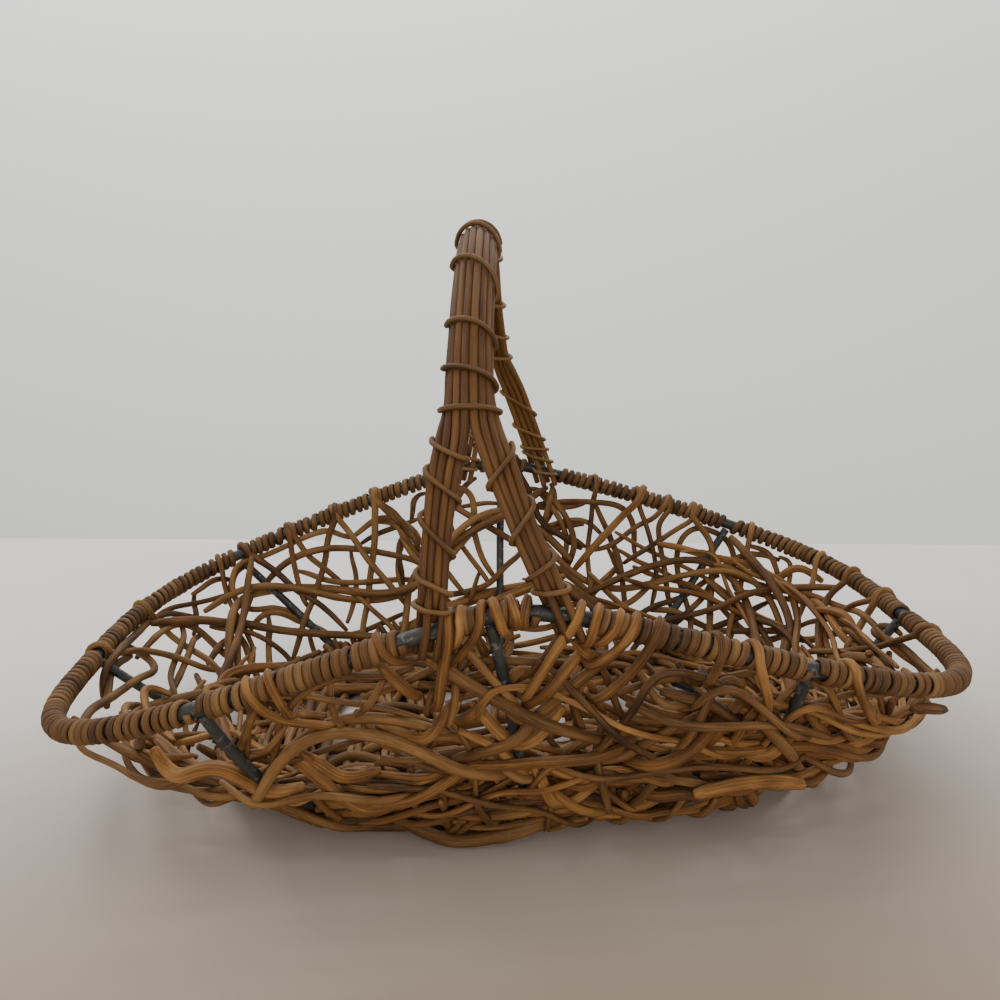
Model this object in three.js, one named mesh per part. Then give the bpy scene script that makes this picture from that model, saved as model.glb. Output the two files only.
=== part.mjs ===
// Grapevine flower basket: a steel rod frame, its rim wound with split vine, a wall of single
// vines woven through the ribs, and a carrying arch of eight canes bound with thinner cane.
// Millimetres. X runs along the basket, Y from front to back, Z up. The origin is the middle of
// the foot ring, on the surface that the basket stands on.
import * as THREE from 'three';

// Rim hoop: a rod bent to a blunt oval that stands high over the middle and dips to both tips
const rimLength = 530;
const rimWidth = 346;
const rimOvalPower = 3.4;
const rimMiddleHeight = 150;
const rimTipHeight = 62;
const rimPeakRounding = 26;
const rimRodDiameter = 8;
const rimRodSteps = 112;
const rimCurvePoints = 240;
const rodSides = 6;

// Foot ring: the oval rod that the basket stands on
const footLength = 300;
const footWidth = 226;
const footRodDiameter = 6;
const footRodSteps = 48;
const footCurvePoints = 120;

// Ribs: eight rods from the rim hoop down to the foot ring, at these shares of the way round,
// counted from the right tip over the back, on the rim and on the foot ring
const ribDiameter = 6;
const ribSteps = 9;
const ribEndPoints = 24;
const ribEndShares = [0, 0.35, 0.7, 1];
const ribRimShares = [0, 0.1215, 0.244, 0.3885, 0.5, 0.646, 0.741, 0.845];
const ribFootShares = [0, 0.125, 0.249, 0.375, 0.5, 0.63, 0.756, 0.868];
const ribNames = ['right', 'back_right', 'back', 'back_left', 'left', 'front_left', 'front', 'front_right'];

// Wall: how far it bellies out and down between the foot ring and the rim, most at the front right
const wallBelly = 12;
const bellyLeanShare = 0.45;
const bellyPlaceShare = 0.89;

// Arch: eight canes side by side over the crown, where their row is domed, which part into two
// legs of four on each side
const caneDiameter = 4.1;
const caneGap = 0.3;
const caneCount = 8;
const caneSides = 5;
const caneSteps = 28;
const domeRadius = 11;
const domeRun = 18;
const archHeight = 331;
const archPower = 1.68;
const archTwist = 19;
const archLean = 7;
const archBow = 8;
const splitHeight = 232;
const legSpacing = 63;
const legRise = 20;
const legTail = 11;
const astrideRiseShare = 0.6;
const astrideTaperShare = 0.42;

// Bindings of the arch: thin cane wound round the crown and round each leg
const bindDiameter = 2.7;
const bindSeat = 0.7;
const bindSides = 5;
const bindEndCorners = 4;
const bindCrownCorners = 4;
const bindCornerShare = 0.06;
const bindOverShare = 0.42;
const crownTurns = 10;
const legTurns = 4;
const legBindTop = 22;
const legBindFoot = 24;

// Rim wrap: split vine wound round the hoop between the ribs and the legs
const wrapWidth = 8.2;
const wrapThickness = 2.8;
const wrapCrownShare = 0.62;
const wrapPitch = 11.6;
const wrapSteps = 6;
const wrapEndGap = 2.5;
const wrapSeat = 0.5;
const wrapGroupTurns = 4.5;
const wrapUnevenShare = 0.16;

// Vines of the wall and floor, thin above and stout round the belly and in the floor. Shares are
// of the way round, and of the rise from foot to rim.
const vineDiameter = 5.6;
const stoutDiameter = 7.6;
const vineUnevenShare = 0.12;
const vineSides = 5;
const goldenTurn = Math.PI * (3 - Math.sqrt(5));
const riserCount = 6;
const riserSteps = 17;
const riserOffsetShare = 0.25;
const riserLeanShare = 0.15;
const riserSwayShare = 0.03;
const riserFootShare = -0.02;
const riserTopShare = 0.97;
const waveCount = 5;
const waveSteps = 44;
const waveReachShare = 0.42;
const waveRiseShare = 0.62;
const waveSwingShare = 0.3;
const waveHumpCount = 2.8;
const beltSteps = 36;
const beltStartShares = [0.54, 0.86, 0.2];
const beltReachShare = 0.58;
const beltRiseShare = 0.3;
const beltSwingShare = 0.14;
const beltHumpCount = 2.1;
const floorLengthwiseCount = 3;
const floorCrosswiseCount = 2;
const floorSteps = 18;
const floorSway = 14;
const floorOverhang = 12;
const floorClear = 0.5;

// How the vines are settled against each other
const liftSteps = 1.6;
const settleRounds = 200;
const settleSoftShare = 0.7;
const vineStiffnessShare = 0.12;

// Fits
const seat = 0.3;
const vineSeat = 0.4;

// Fineness of the measurements that are found by search
const searchSteps = 1500;
const halvings = 20;
const midRiseShare = 0.5;

// Finishes
const steelFinish = { color: 0x35393a, roughness: 0.6, metalness: 0.7 };
const wrapFinish = { color: 0x8a6238, roughness: 0.75, metalness: 0 };
const vineFinish = { color: 0x8f6434, roughness: 0.8, metalness: 0 };
const caneFinish = { color: 0x84532b, roughness: 0.6, metalness: 0 };
const bindFinish = { color: 0x8c5f35, roughness: 0.65, metalness: 0 };

const rimRodRadius = rimRodDiameter / 2;
const footRodRadius = footRodDiameter / 2;
const ribRadius = ribDiameter / 2;
const caneRadius = caneDiameter / 2;
const bindRadius = bindDiameter / 2;
const canePitch = caneDiameter + caneGap;
const upright = new THREE.Vector3(0, 0, 1);
const sideways = new THREE.Vector3(1, 0, 0);

const basket = new THREE.Group();
basket.name = 'grapevine_basket';
const steelFrame = new THREE.Group();
const rimWrap = new THREE.Group();
const arch = new THREE.Group();
const weave = new THREE.Group();
basket.add(steelFrame, rimWrap, arch, weave);

// Lines that the pieces follow

function oval(halfLength, halfWidth, power, angle, target) {
  const across = Math.cos(angle);
  const along = Math.sin(angle);
  target.x = halfLength * Math.sign(across) * Math.abs(across) ** (2 / power);
  target.y = halfWidth * Math.sign(along) * Math.abs(along) ** (2 / power);
  return target;
}

function rimHeightAt(x) {
  const slope = (rimMiddleHeight - rimTipHeight) / (rimLength / 2);
  const rounded = Math.hypot(x, rimPeakRounding) - rimPeakRounding;
  return rimMiddleHeight - slope * rounded;
}

// The width of the rim oval at a place along the basket
function rimSideAt(x) {
  const share = Math.abs(x) / (rimLength / 2);
  return (rimWidth / 2) * (1 - share ** rimOvalPower) ** (1 / rimOvalPower);
}

function closedLine(count, place) {
  const points = [];
  for (let index = 0; index < count; index += 1) {
    points.push(place((2 * Math.PI * index) / count, new THREE.Vector3()));
  }
  const line = new THREE.CatmullRomCurve3(points, true);
  line.arcLengthDivisions = searchSteps;
  return line;
}

const rimLine = closedLine(rimCurvePoints, (angle, point) => {
  oval(rimLength / 2, rimWidth / 2, rimOvalPower, angle, point);
  point.z = rimHeightAt(point.x);
  return point;
});

const footLine = closedLine(footCurvePoints, (angle, point) => {
  oval(footLength / 2, footWidth / 2, 2, angle, point);
  point.z = footRodRadius * Math.cos(Math.PI / rodSides);
  return point;
});

// A share of the way round, brought back into the first round
function withinRound(share) {
  return share - Math.floor(share);
}

// A place on the wall, by the share of the way round and the rise, with the direction outwards
function wallFrame(share, rise) {
  const around = withinRound(share);
  const foot = footLine.getPointAt(around);
  const rim = rimLine.getPointAt(around);
  const climb = rim.clone().sub(foot);
  const outward = rimLine.getTangentAt(around).cross(climb).normalize();
  const lean = bellyLeanShare * Math.cos(2 * Math.PI * (around - bellyPlaceShare));
  const belly = wallBelly * (1 + lean) * Math.sin(Math.PI * THREE.MathUtils.clamp(rise, 0, 1));
  const point = foot.clone().addScaledVector(climb, rise).addScaledVector(outward, belly);
  return { point, outward };
}

// Closed bodies

function roundSection(radius, sides) {
  const corners = [];
  for (let index = 0; index < sides; index += 1) {
    const angle = (2 * Math.PI * index) / sides;
    corners.push(new THREE.Vector2(radius * Math.cos(angle), radius * Math.sin(angle)));
  }
  return corners;
}

// The corners of a section that stands square to the way ahead
function sectionCorners(point, up, ahead, section) {
  const side = up.clone().cross(ahead).normalize();
  const above = ahead.clone().cross(side);
  return section.map((corner) => {
    const place = point.clone().addScaledVector(side, corner.x);
    return place.addScaledVector(above, corner.y);
  });
}

// A section carried along points. Each point has an up direction, which is the section's Y.
function sweep(points, ups, section, closed = false) {
  const positions = [];
  const faces = [];
  const count = points.length;
  const sides = section.length;
  points.forEach((point, index) => {
    const before = points[closed ? (index + count - 1) % count : Math.max(index - 1, 0)];
    const after = points[closed ? (index + 1) % count : Math.min(index + 1, count - 1)];
    const ahead = after.clone().sub(before).normalize();
    sectionCorners(point, ups[index], ahead, section).forEach((corner) => {
      positions.push(corner.x, corner.y, corner.z);
    });
  });
  const spans = closed ? count : count - 1;
  for (let span = 0; span < spans; span += 1) {
    const here = span * sides;
    const next = ((span + 1) % count) * sides;
    for (let corner = 0; corner < sides; corner += 1) {
      const beside = (corner + 1) % sides;
      faces.push(here + corner, here + beside, next + beside);
      faces.push(here + corner, next + beside, next + corner);
    }
  }
  if (!closed) {
    const last = (count - 1) * sides;
    for (let corner = 1; corner < sides - 1; corner += 1) {
      faces.push(0, corner + 1, corner);
      faces.push(last, last + corner, last + corner + 1);
    }
  }
  const geometry = new THREE.BufferGeometry();
  geometry.setAttribute('position', new THREE.Float32BufferAttribute(positions, 3));
  geometry.setIndex(faces);
  geometry.computeVertexNormals();
  return geometry;
}

function addPiece(group, name, geometry, finish) {
  const piece = new THREE.Mesh(geometry, new THREE.MeshStandardMaterial(finish));
  piece.name = name;
  group.add(piece);
}

// Steel frame

function ringPoints(line, steps) {
  const points = [];
  for (let step = 0; step < steps; step += 1) {
    points.push(line.getPointAt(step / steps));
  }
  return points;
}

// Both rings have a hexagonal section that lies on a flat
const rimPoints = ringPoints(rimLine, rimRodSteps);
const footPoints = ringPoints(footLine, footRodSteps);
const rimSection = roundSection(rimRodRadius, rodSides);
const footSection = roundSection(footRodRadius, rodSides);
const rimHoop = sweep(rimPoints, rimPoints.map(() => upright), rimSection, true);
addPiece(steelFrame, 'rim_hoop', rimHoop, steelFinish);
const footRing = sweep(footPoints, footPoints.map(() => upright), footSection, true);
addPiece(steelFrame, 'foot_ring', footRing, steelFinish);

const ribSection = roundSection(ribRadius, rodSides);
const ribEndFace = ribEndShares.flatMap((share) => roundSection(ribRadius * share, ribEndPoints));

function distanceToRing(point, ring) {
  const nearest = new THREE.Vector3();
  const side = new THREE.Line3();
  let least = Infinity;
  ring.forEach((corner, index) => {
    side.set(corner, ring[(index + 1) % ring.length]);
    side.closestPointToPoint(point, true, nearest);
    least = Math.min(least, nearest.distanceTo(point));
  });
  return least;
}

// How far up the wall a rib ends when it is just clear of a ring, halving the stretch each time
function riseClearOf(place, ringRise, ring, clearance) {
  let touching = ringRise;
  let clear = midRiseShare;
  for (let halving = 0; halving < halvings; halving += 1) {
    const middle = (touching + clear) / 2;
    const frame = place(middle);
    const nextRise = THREE.MathUtils.lerp(middle, midRiseShare, 2 / ribSteps);
    const ahead = frame.point.clone().sub(place(nextRise).point).normalize();
    const face = sectionCorners(frame.point, frame.outward, ahead, ribEndFace);
    if (Math.min(...face.map((spot) => distanceToRing(spot, ring))) < clearance) {
      touching = middle;
    } else {
      clear = middle;
    }
  }
  return clear;
}

// Each rib butts against the hoop above and the foot ring below
const ribLines = ribNames.map((name, index) => {
  const points = [];
  const ups = [];
  const place = (rise) => {
    const around = THREE.MathUtils.lerp(ribFootShares[index], ribRimShares[index], rise);
    return wallFrame(around, rise);
  };
  const bottom = riseClearOf(place, 0, footPoints, footRodRadius + seat);
  const top = riseClearOf(place, 1, rimPoints, rimRodRadius + seat);
  for (let step = 0; step <= ribSteps; step += 1) {
    const frame = place(THREE.MathUtils.lerp(bottom, top, step / ribSteps));
    points.push(frame.point);
    ups.push(frame.outward);
  }
  addPiece(steelFrame, `rib_${name}`, sweep(points, ups, ribSection), steelFinish);
  return points;
});

// Carrying arch

const archBase = rimHeightAt(legSpacing / 2);
const archRise = archHeight - caneRadius - archBase;
const archHalf = rimWidth / 2;
const legFromRowMiddle = (canePitch * caneCount) / 4;

// How far out from the middle the arch stands at a height
function archSideAt(height) {
  const share = THREE.MathUtils.clamp((height - archBase) / archRise, 0, 1);
  return archHalf * (1 - share ** archPower) ** (1 / archPower);
}

// The middle of the arch: the crown leans left, the front bows left between foot and crown, and
// the back is twisted to the right of the front
function archMiddle(height, y) {
  const crownShare = THREE.MathUtils.clamp((height - archBase) / archRise, 0, 1);
  const bow = archBow * Math.sin(Math.PI * crownShare) * ((1 - y / archHalf) / 2);
  return (archTwist / 2) * (y / archHalf) - archLean * crownShare - bow;
}

// The sideways place of one cane, or of the middle of a leg
function rowPlace(height, y, rowOffset, legSign) {
  const parting = Math.max(0, (splitHeight - height) / (splitHeight - archBase));
  const spread = (legSpacing / 2 - legFromRowMiddle) * parting;
  return archMiddle(height, y) + rowOffset + legSign * spread;
}

function legFoot(legSign, faceSign) {
  const x = rowPlace(archBase, faceSign * archHalf, legSign * legFromRowMiddle, legSign);
  return new THREE.Vector3(x, faceSign * rimSideAt(x), rimHeightAt(x));
}

function awayFromArchMiddle(point) {
  return new THREE.Vector3(0, point.y, Math.max(point.z - archBase, 0)).normalize();
}

// The row turns from flat in the legs to fully domed round the place where they part
function domeShareAt(height) {
  return THREE.MathUtils.smoothstep(height, splitHeight - domeRun, splitHeight + domeRun);
}

// A place along the row of canes when it is domed: how far across, and how far in from the flat
function domed(along, domeShare) {
  const turn = (along / domeRadius) * domeShare;
  if (turn === 0) {
    return { across: along, inward: 0, turn };
  }
  const bendRadius = along / turn;
  return { across: bendRadius * Math.sin(turn), inward: bendRadius * (1 - Math.cos(turn)), turn };
}

// One cane's line: up one leg, over the crown and down the other, its ends astride the hoop
function caneLine(index) {
  const rowOffset = (index - (caneCount - 1) / 2) * canePitch;
  const legSign = Math.sign(rowOffset);
  const astride = (index % 2 === 0 ? 1 : -1) * (rimRodRadius + seat + caneRadius);
  const footEnd = (faceSign) => {
    const foot = legFoot(legSign, faceSign);
    const stations = [[-legTail, 1], [rimRodRadius, 1], [legRise * astrideRiseShare, astrideTaperShare]];
    return stations.map(([rise, share]) => {
      const height = foot.z + rise;
      const x = rowPlace(height, foot.y, rowOffset, legSign);
      return new THREE.Vector3(x, faceSign * rimSideAt(x) + astride * share, height);
    });
  };
  const points = footEnd(-1);
  const startAngle = (faceSign) => {
    const share = (legFoot(legSign, faceSign).z + legRise - archBase) / archRise;
    return Math.asin(share ** (archPower / 2));
  };
  const from = startAngle(-1);
  const to = Math.PI - startAngle(1);
  for (let step = 0; step <= caneSteps; step += 1) {
    const angle = THREE.MathUtils.lerp(from, to, step / caneSteps);
    const height = archBase + archRise * Math.sin(angle) ** (2 / archPower);
    const y = -Math.sign(Math.cos(angle)) * archSideAt(height);
    const bend = domed(rowOffset, domeShareAt(height));
    const point = new THREE.Vector3(rowPlace(height, y, bend.across, legSign), y, height);
    points.push(point.addScaledVector(awayFromArchMiddle(point), -bend.inward));
  }
  return points.concat(footEnd(1).reverse());
}

const caneLines = [];
for (let index = 0; index < caneCount; index += 1) {
  const line = caneLine(index);
  caneLines.push(line);
  const cane = sweep(line, line.map(awayFromArchMiddle), roundSection(caneRadius, caneSides));
  addPiece(arch, `arch_cane_${index + 1}`, cane, caneFinish);
}

// Windings

// The least gap between turns, measured between the corners of steps more than half a turn apart
function leastGap(geometry, sides, stepsPerTurn) {
  const corners = geometry.getAttribute('position');
  const a = new THREE.Vector3();
  const b = new THREE.Vector3();
  const apart = Math.ceil(stepsPerTurn / 2) * sides;
  let least = Infinity;
  for (let first = 0; first < corners.count; first += 1) {
    a.fromBufferAttribute(corners, first);
    for (let second = first + apart; second < corners.count; second += 1) {
      b.fromBufferAttribute(corners, second);
      least = Math.min(least, a.distanceTo(b));
    }
  }
  return least;
}

function printGap(name, geometry, sides, stepsPerTurn) {
  console.log(`${name}: least gap to itself ${leastGap(geometry, sides, stepsPerTurn).toFixed(2)} mm`);
}

// One turn round a row of canes: round one end, over the row, round the other end and beneath.
// Each corner has its place along the row, its direction and its share of the turn's advance.
const bindCornerAngle = Math.PI / (bindEndCorners - 1);
const bindReach = (caneRadius + bindSeat + bindRadius) / Math.cos(bindCornerAngle / 2);

function bindLoop(overCorners) {
  const loop = [];
  const roundEnd = (end, advance) => {
    for (let corner = 0; corner < bindEndCorners; corner += 1) {
      const angle = corner * bindCornerAngle - (end * Math.PI) / 2;
      loop.push({ along: end, angle, advance: advance + corner * bindCornerShare });
    }
  };
  roundEnd(1, 0);
  const overStart = (bindEndCorners - 1) * bindCornerShare;
  for (let corner = 1; corner <= overCorners; corner += 1) {
    const over = corner / (overCorners + 1);
    const advance = THREE.MathUtils.lerp(overStart, bindOverShare, over);
    loop.push({ along: 1 - 2 * over, angle: Math.PI / 2, advance });
  }
  roundEnd(-1, bindOverShare);
  return loop;
}

function bindRow(name, turns, rowHalf, overCorners, spine) {
  const points = [];
  const ups = [];
  const loop = bindLoop(overCorners);
  for (let step = 0; step <= turns * loop.length; step += 1) {
    const corner = loop[step % loop.length];
    const turn = Math.floor(step / loop.length);
    const along = (turn + corner.advance) / (turns + bindCornerShare);
    const { centre, across, outward, domeShare } = spine(Math.min(along, 1));
    const bend = domed(corner.along * rowHalf, domeShare);
    const angle = corner.angle - bend.turn;
    const up = across.clone().multiplyScalar(Math.cos(angle)).addScaledVector(outward, Math.sin(angle));
    const point = centre.clone().addScaledVector(across, bend.across);
    points.push(point.addScaledVector(outward, -bend.inward).addScaledVector(up, bindReach));
    ups.push(up);
  }
  const geometry = sweep(points, ups, roundSection(bindRadius, bindSides));
  printGap(name, geometry, bindSides, loop.length);
  addPiece(arch, name, geometry, bindFinish);
}

function crownSpine(share) {
  const low = Math.asin(((splitHeight - archBase) / archRise) ** (archPower / 2));
  const angle = THREE.MathUtils.lerp(low, Math.PI - low, share);
  const height = archBase + archRise * Math.sin(angle) ** (2 / archPower);
  const y = -Math.sign(Math.cos(angle)) * archSideAt(height);
  const centre = new THREE.Vector3(archMiddle(height, y), y, height);
  const outward = awayFromArchMiddle(centre);
  return { centre, across: sideways, outward, domeShare: domeShareAt(height) };
}
const crownHalf = (canePitch * (caneCount - 1)) / 2;
bindRow('binding_crown', crownTurns, crownHalf, bindCrownCorners, crownSpine);

function legSpine(legSign, faceSign) {
  const foot = legFoot(legSign, faceSign);
  const place = (height) => {
    const y = faceSign * archSideAt(height);
    return new THREE.Vector3(rowPlace(height, y, legSign * legFromRowMiddle, legSign), y, height);
  };
  const top = splitHeight - legBindTop;
  const bottom = foot.z + legBindFoot;
  return (share) => {
    const height = THREE.MathUtils.lerp(top, bottom, share);
    const centre = place(height);
    const down = place(height - bindDiameter).sub(place(height + bindDiameter)).normalize();
    const outward = awayFromArchMiddle(centre);
    const across = down.clone().cross(outward).multiplyScalar(-faceSign).normalize();
    outward.crossVectors(across, down).multiplyScalar(faceSign).normalize();
    return { centre, across, outward, domeShare: 0 };
  };
}
const legHalf = (canePitch * (caneCount / 2 - 1)) / 2;
[['front', -1], ['back', 1]].forEach(([face, faceSign]) => {
  [['left', -1], ['right', 1]].forEach(([hand, legSign]) => {
    bindRow(`binding_leg_${face}_${hand}`, legTurns, legHalf, 0, legSpine(legSign, faceSign));
  });
});

// The share of the way round the rim at which a leg stands
function rimShareOf(point) {
  let best = 0;
  let least = Infinity;
  for (let index = 0; index < searchSteps; index += 1) {
    const distance = rimLine.getPointAt(index / searchSteps).distanceTo(point);
    if (distance < least) {
      least = distance;
      best = index / searchSteps;
    }
  }
  return best;
}

// The wrap stops short of each rib and each leg
const rimAround = rimLine.getLength();
const stops = ribRimShares.map((share) => ({ share, half: ribRadius + wrapEndGap }));
[-1, 1].forEach((faceSign) => {
  [-1, 1].forEach((legSign) => {
    stops.push({ share: rimShareOf(legFoot(legSign, faceSign)), half: legFromRowMiddle + wrapEndGap / 2 });
  });
});
stops.sort((a, b) => a.share - b.share);

const wrapBore = (rimRodRadius + wrapSeat) / Math.cos(Math.PI / wrapSteps);
const wrapMiddle = wrapBore + wrapThickness / 2;
const wrapOutside = wrapBore + wrapThickness;
const wrapSection = [
  new THREE.Vector2(wrapWidth / 2, -wrapThickness / 2),
  new THREE.Vector2((wrapWidth / 2) * wrapCrownShare, wrapThickness / 2),
  new THREE.Vector2((-wrapWidth / 2) * wrapCrownShare, wrapThickness / 2),
  new THREE.Vector2(-wrapWidth / 2, -wrapThickness / 2),
];

function windRim(name, from, to) {
  const turns = Math.max(1, Math.round(((to - from) * rimAround) / wrapPitch));
  const points = [];
  const ups = [];
  for (let step = 0; step <= turns * wrapSteps; step += 1) {
    const turn = step / wrapSteps;
    const uneven = (wrapUnevenShare * Math.sin((2 * Math.PI * turn) / wrapGroupTurns)) / turns;
    const fade = Math.sin((Math.PI * turn) / turns);
    const share = withinRound(THREE.MathUtils.lerp(from, to, turn / turns + uneven * fade));
    const ahead = rimLine.getTangentAt(share);
    const outward = ahead.clone().cross(upright).normalize();
    const above = outward.clone().cross(ahead);
    const angle = 2 * Math.PI * turn;
    const reach = above.multiplyScalar(-Math.cos(angle)).addScaledVector(outward, -Math.sin(angle));
    points.push(rimLine.getPointAt(share).addScaledVector(reach, wrapMiddle));
    ups.push(reach);
  }
  const geometry = sweep(points, ups, wrapSection);
  printGap(name, geometry, wrapSection.length, wrapSteps);
  addPiece(rimWrap, name, geometry, wrapFinish);
  return turns;
}

let wrapTurns = 0;
stops.forEach((stop, index) => {
  const next = stops[(index + 1) % stops.length];
  const end = next.share + (index + 1 === stops.length ? 1 : 0);
  const from = stop.share + (stop.half + wrapWidth / 2) / rimAround;
  const to = end - (next.half + wrapWidth / 2) / rimAround;
  wrapTurns += windRim(`rim_wrap_${index + 1}`, from, to);
});
console.log(`rim ${rimAround.toFixed(0)} mm round, ${wrapTurns} turns of wrap`);

// Woven vines

// The closest places of two straight stretches, as shares of their lengths, and their distance
function closest(a0, a1, b0, b1) {
  const ax = a1.x - a0.x;
  const ay = a1.y - a0.y;
  const az = a1.z - a0.z;
  const bx = b1.x - b0.x;
  const by = b1.y - b0.y;
  const bz = b1.z - b0.z;
  const rx = a0.x - b0.x;
  const ry = a0.y - b0.y;
  const rz = a0.z - b0.z;
  const aa = ax * ax + ay * ay + az * az;
  const bb = bx * bx + by * by + bz * bz;
  const ab = ax * bx + ay * by + az * bz;
  const ar = ax * rx + ay * ry + az * rz;
  const br = bx * rx + by * ry + bz * rz;
  const spread = aa * bb - ab * ab;
  let onA = spread > 0 ? THREE.MathUtils.clamp((ab * br - bb * ar) / spread, 0, 1) : 0;
  const onB = THREE.MathUtils.clamp((ab * onA + br) / bb, 0, 1);
  onA = THREE.MathUtils.clamp((ab * onB - ar) / aa, 0, 1);
  const dx = rx + ax * onA - bx * onB;
  const dy = ry + ay * onA - by * onB;
  const dz = rz + az * onA - bz * onB;
  return { onA, onB, dx, dy, dz, distance: Math.hypot(dx, dy, dz) };
}

// A vine keeps its points, the wall's outward direction at each, and its radius
const vines = [];

function addRoute(name, radius, steps, place) {
  const points = [];
  const outwards = [];
  for (let step = 0; step <= steps; step += 1) {
    const frame = place(step / steps);
    points.push(frame.point);
    outwards.push(frame.outward);
  }
  vines.push({ name, radius, points, outwards });
}

// Vines of one sort are a little thicker and thinner in turn
function nextRadius(diameter) {
  return (diameter / 2) * (1 + vineUnevenShare * Math.sin(goldenTurn * (vines.length + 1)));
}

// Risers climb from the foot ring to the rim, half leaning one way and half the other
[['left', 1], ['right', -1]].forEach(([hand, lean]) => {
  for (let index = 0; index < riserCount; index += 1) {
    const middle = (index + 0.5 - lean * riserOffsetShare) / riserCount;
    const phase = goldenTurn * vines.length;
    addRoute(`vine_riser_${hand}_${index + 1}`, nextRadius(vineDiameter), riserSteps, (share) => {
      const sway = riserSwayShare * Math.sin(Math.PI * share) * Math.sin(2 * Math.PI * share + phase);
      const around = middle + lean * riserLeanShare * (share - 0.5) + sway;
      return wallFrame(around, THREE.MathUtils.lerp(riserFootShare, riserTopShare, share));
    });
  }
});

// A vine that runs part of the way round and swings up and down as it goes
function swingRoute(name, diameter, steps, place, humps, riseAt) {
  const phase = goldenTurn * vines.length;
  addRoute(name, nextRadius(diameter), steps, (share) => {
    const swing = Math.sin(2 * Math.PI * humps * share + phase);
    return wallFrame(place(share), riseAt(swing));
  });
}

// Wave vines swing wide along the upper wall
for (let index = 0; index < waveCount; index += 1) {
  const place = (share) => index / waveCount + waveReachShare * share;
  const riseAt = (swing) => waveRiseShare + waveSwingShare * swing;
  swingRoute(`vine_wave_${index + 1}`, vineDiameter, waveSteps, place, waveHumpCount, riseAt);
}

// Belts run round the belly of the wall
beltStartShares.forEach((start, index) => {
  const place = (share) => start + beltReachShare * share;
  const riseAt = (swing) => beltRiseShare + beltSwingShare * swing;
  swingRoute(`vine_belt_${index + 1}`, stoutDiameter, beltSteps, place, beltHumpCount, riseAt);
});

// Floor vines lie on the foot ring, some along the basket and some across it
const floorHeight = 2 * footRodRadius * Math.cos(Math.PI / rodSides) + seat;
function floorRoute(name, alongBasket, place, phase, reach) {
  const radius = nextRadius(stoutDiameter);
  addRoute(name, radius, floorSteps, (share) => {
    const run = (2 * share - 1) * reach;
    const sway = floorSway * Math.sin(Math.PI * (2 * share - 1) + phase);
    const height = floorHeight + radius;
    const point = new THREE.Vector3(run, place + sway, height);
    if (!alongBasket) {
      point.set(place + sway, run, height);
    }
    return { point, outward: upright };
  });
}
function floorReach(place, halfWidth, halfLength) {
  return halfLength * Math.sqrt(1 - (place / halfWidth) ** 2) + floorOverhang;
}
for (let index = 0; index < floorLengthwiseCount; index += 1) {
  const place = (index - (floorLengthwiseCount - 1) / 2) * (footWidth / (floorLengthwiseCount + 1));
  const reach = floorReach(place, footWidth / 2, footLength / 2);
  floorRoute(`vine_floor_lengthwise_${index + 1}`, true, place, goldenTurn * index, reach);
}
for (let index = 0; index < floorCrosswiseCount; index += 1) {
  const place = (index - (floorCrosswiseCount - 1) / 2) * (footLength / (floorCrosswiseCount + 1));
  const reach = floorReach(place, footLength / 2, footWidth / 2);
  floorRoute(`vine_floor_crosswise_${index + 1}`, false, place, goldenTurn * (index + 1), reach);
}

// What the vines lean against but can't move
const fixed = [
  { radius: wrapOutside, points: rimPoints.concat([rimPoints[0]]) },
  { radius: footRodRadius, points: footPoints.concat([footPoints[0]]) },
];
ribLines.forEach((points) => fixed.push({ radius: ribRadius, points }));
caneLines.forEach((line) => {
  fixed.push({ radius: caneRadius, points: line.slice(0, 4) });
  fixed.push({ radius: caneRadius, points: line.slice(-4) });
});

// Where two vines cross, one goes over and the other under, and each vine takes turns
function crossings(vine, other) {
  const found = [];
  for (let a = 0; a + 1 < vine.points.length; a += 1) {
    for (let b = 0; b + 1 < other.points.length; b += 1) {
      const near = closest(vine.points[a], vine.points[a + 1], other.points[b], other.points[b + 1]);
      const inside = near.onA > 0 && near.onA < 1 && near.onB > 0 && near.onB < 1;
      if (near.distance < vine.radius + other.radius && inside) {
        found.push({ at: a + near.onA, atOther: b + near.onB });
      }
    }
  }
  return found;
}

function interlace() {
  const lifts = vines.map((vine) => vine.points.map(() => 0));
  const raise = (index, at, sign) => {
    const vine = vines[index];
    vine.points.forEach((point, step) => {
      const falloff = Math.max(0, 1 - Math.abs(step - at) / liftSteps);
      lifts[index][step] += sign * vine.radius * falloff;
    });
  };
  vines.forEach((vine, index) => {
    let crossed = [];
    for (let later = index + 1; later < vines.length; later += 1) {
      crossed = crossed.concat(crossings(vine, vines[later]).map((found) => ({ ...found, later })));
    }
    crossed.sort((a, b) => a.at - b.at);
    crossed.forEach((found, order) => {
      const sign = (order + index) % 2 === 0 ? 1 : -1;
      raise(index, found.at, sign);
      raise(found.later, found.atOther, -sign);
    });
    ribLines.forEach((points, rib) => {
      const side = (index + rib) % 2 === 0 ? 1 : -1;
      crossings(vine, { points, radius: ribRadius }).forEach((found) => raise(index, found.at, side));
    });
  });
  vines.forEach((vine, index) => {
    vine.points.forEach((point, step) => {
      const lift = THREE.MathUtils.clamp(lifts[index][step], -2 * vine.radius, 2 * vine.radius);
      point.addScaledVector(vine.outwards[step], lift);
    });
  });
}

function shift(point, near, amount) {
  point.x += (near.dx * amount) / near.distance;
  point.y += (near.dy * amount) / near.distance;
  point.z += (near.dz * amount) / near.distance;
}

// The longest straight stretch of a line
function longestStretch(line) {
  let longest = 0;
  for (let index = 0; index + 1 < line.points.length; index += 1) {
    longest = Math.max(longest, line.points[index].distanceTo(line.points[index + 1]));
  }
  return longest;
}

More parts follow.
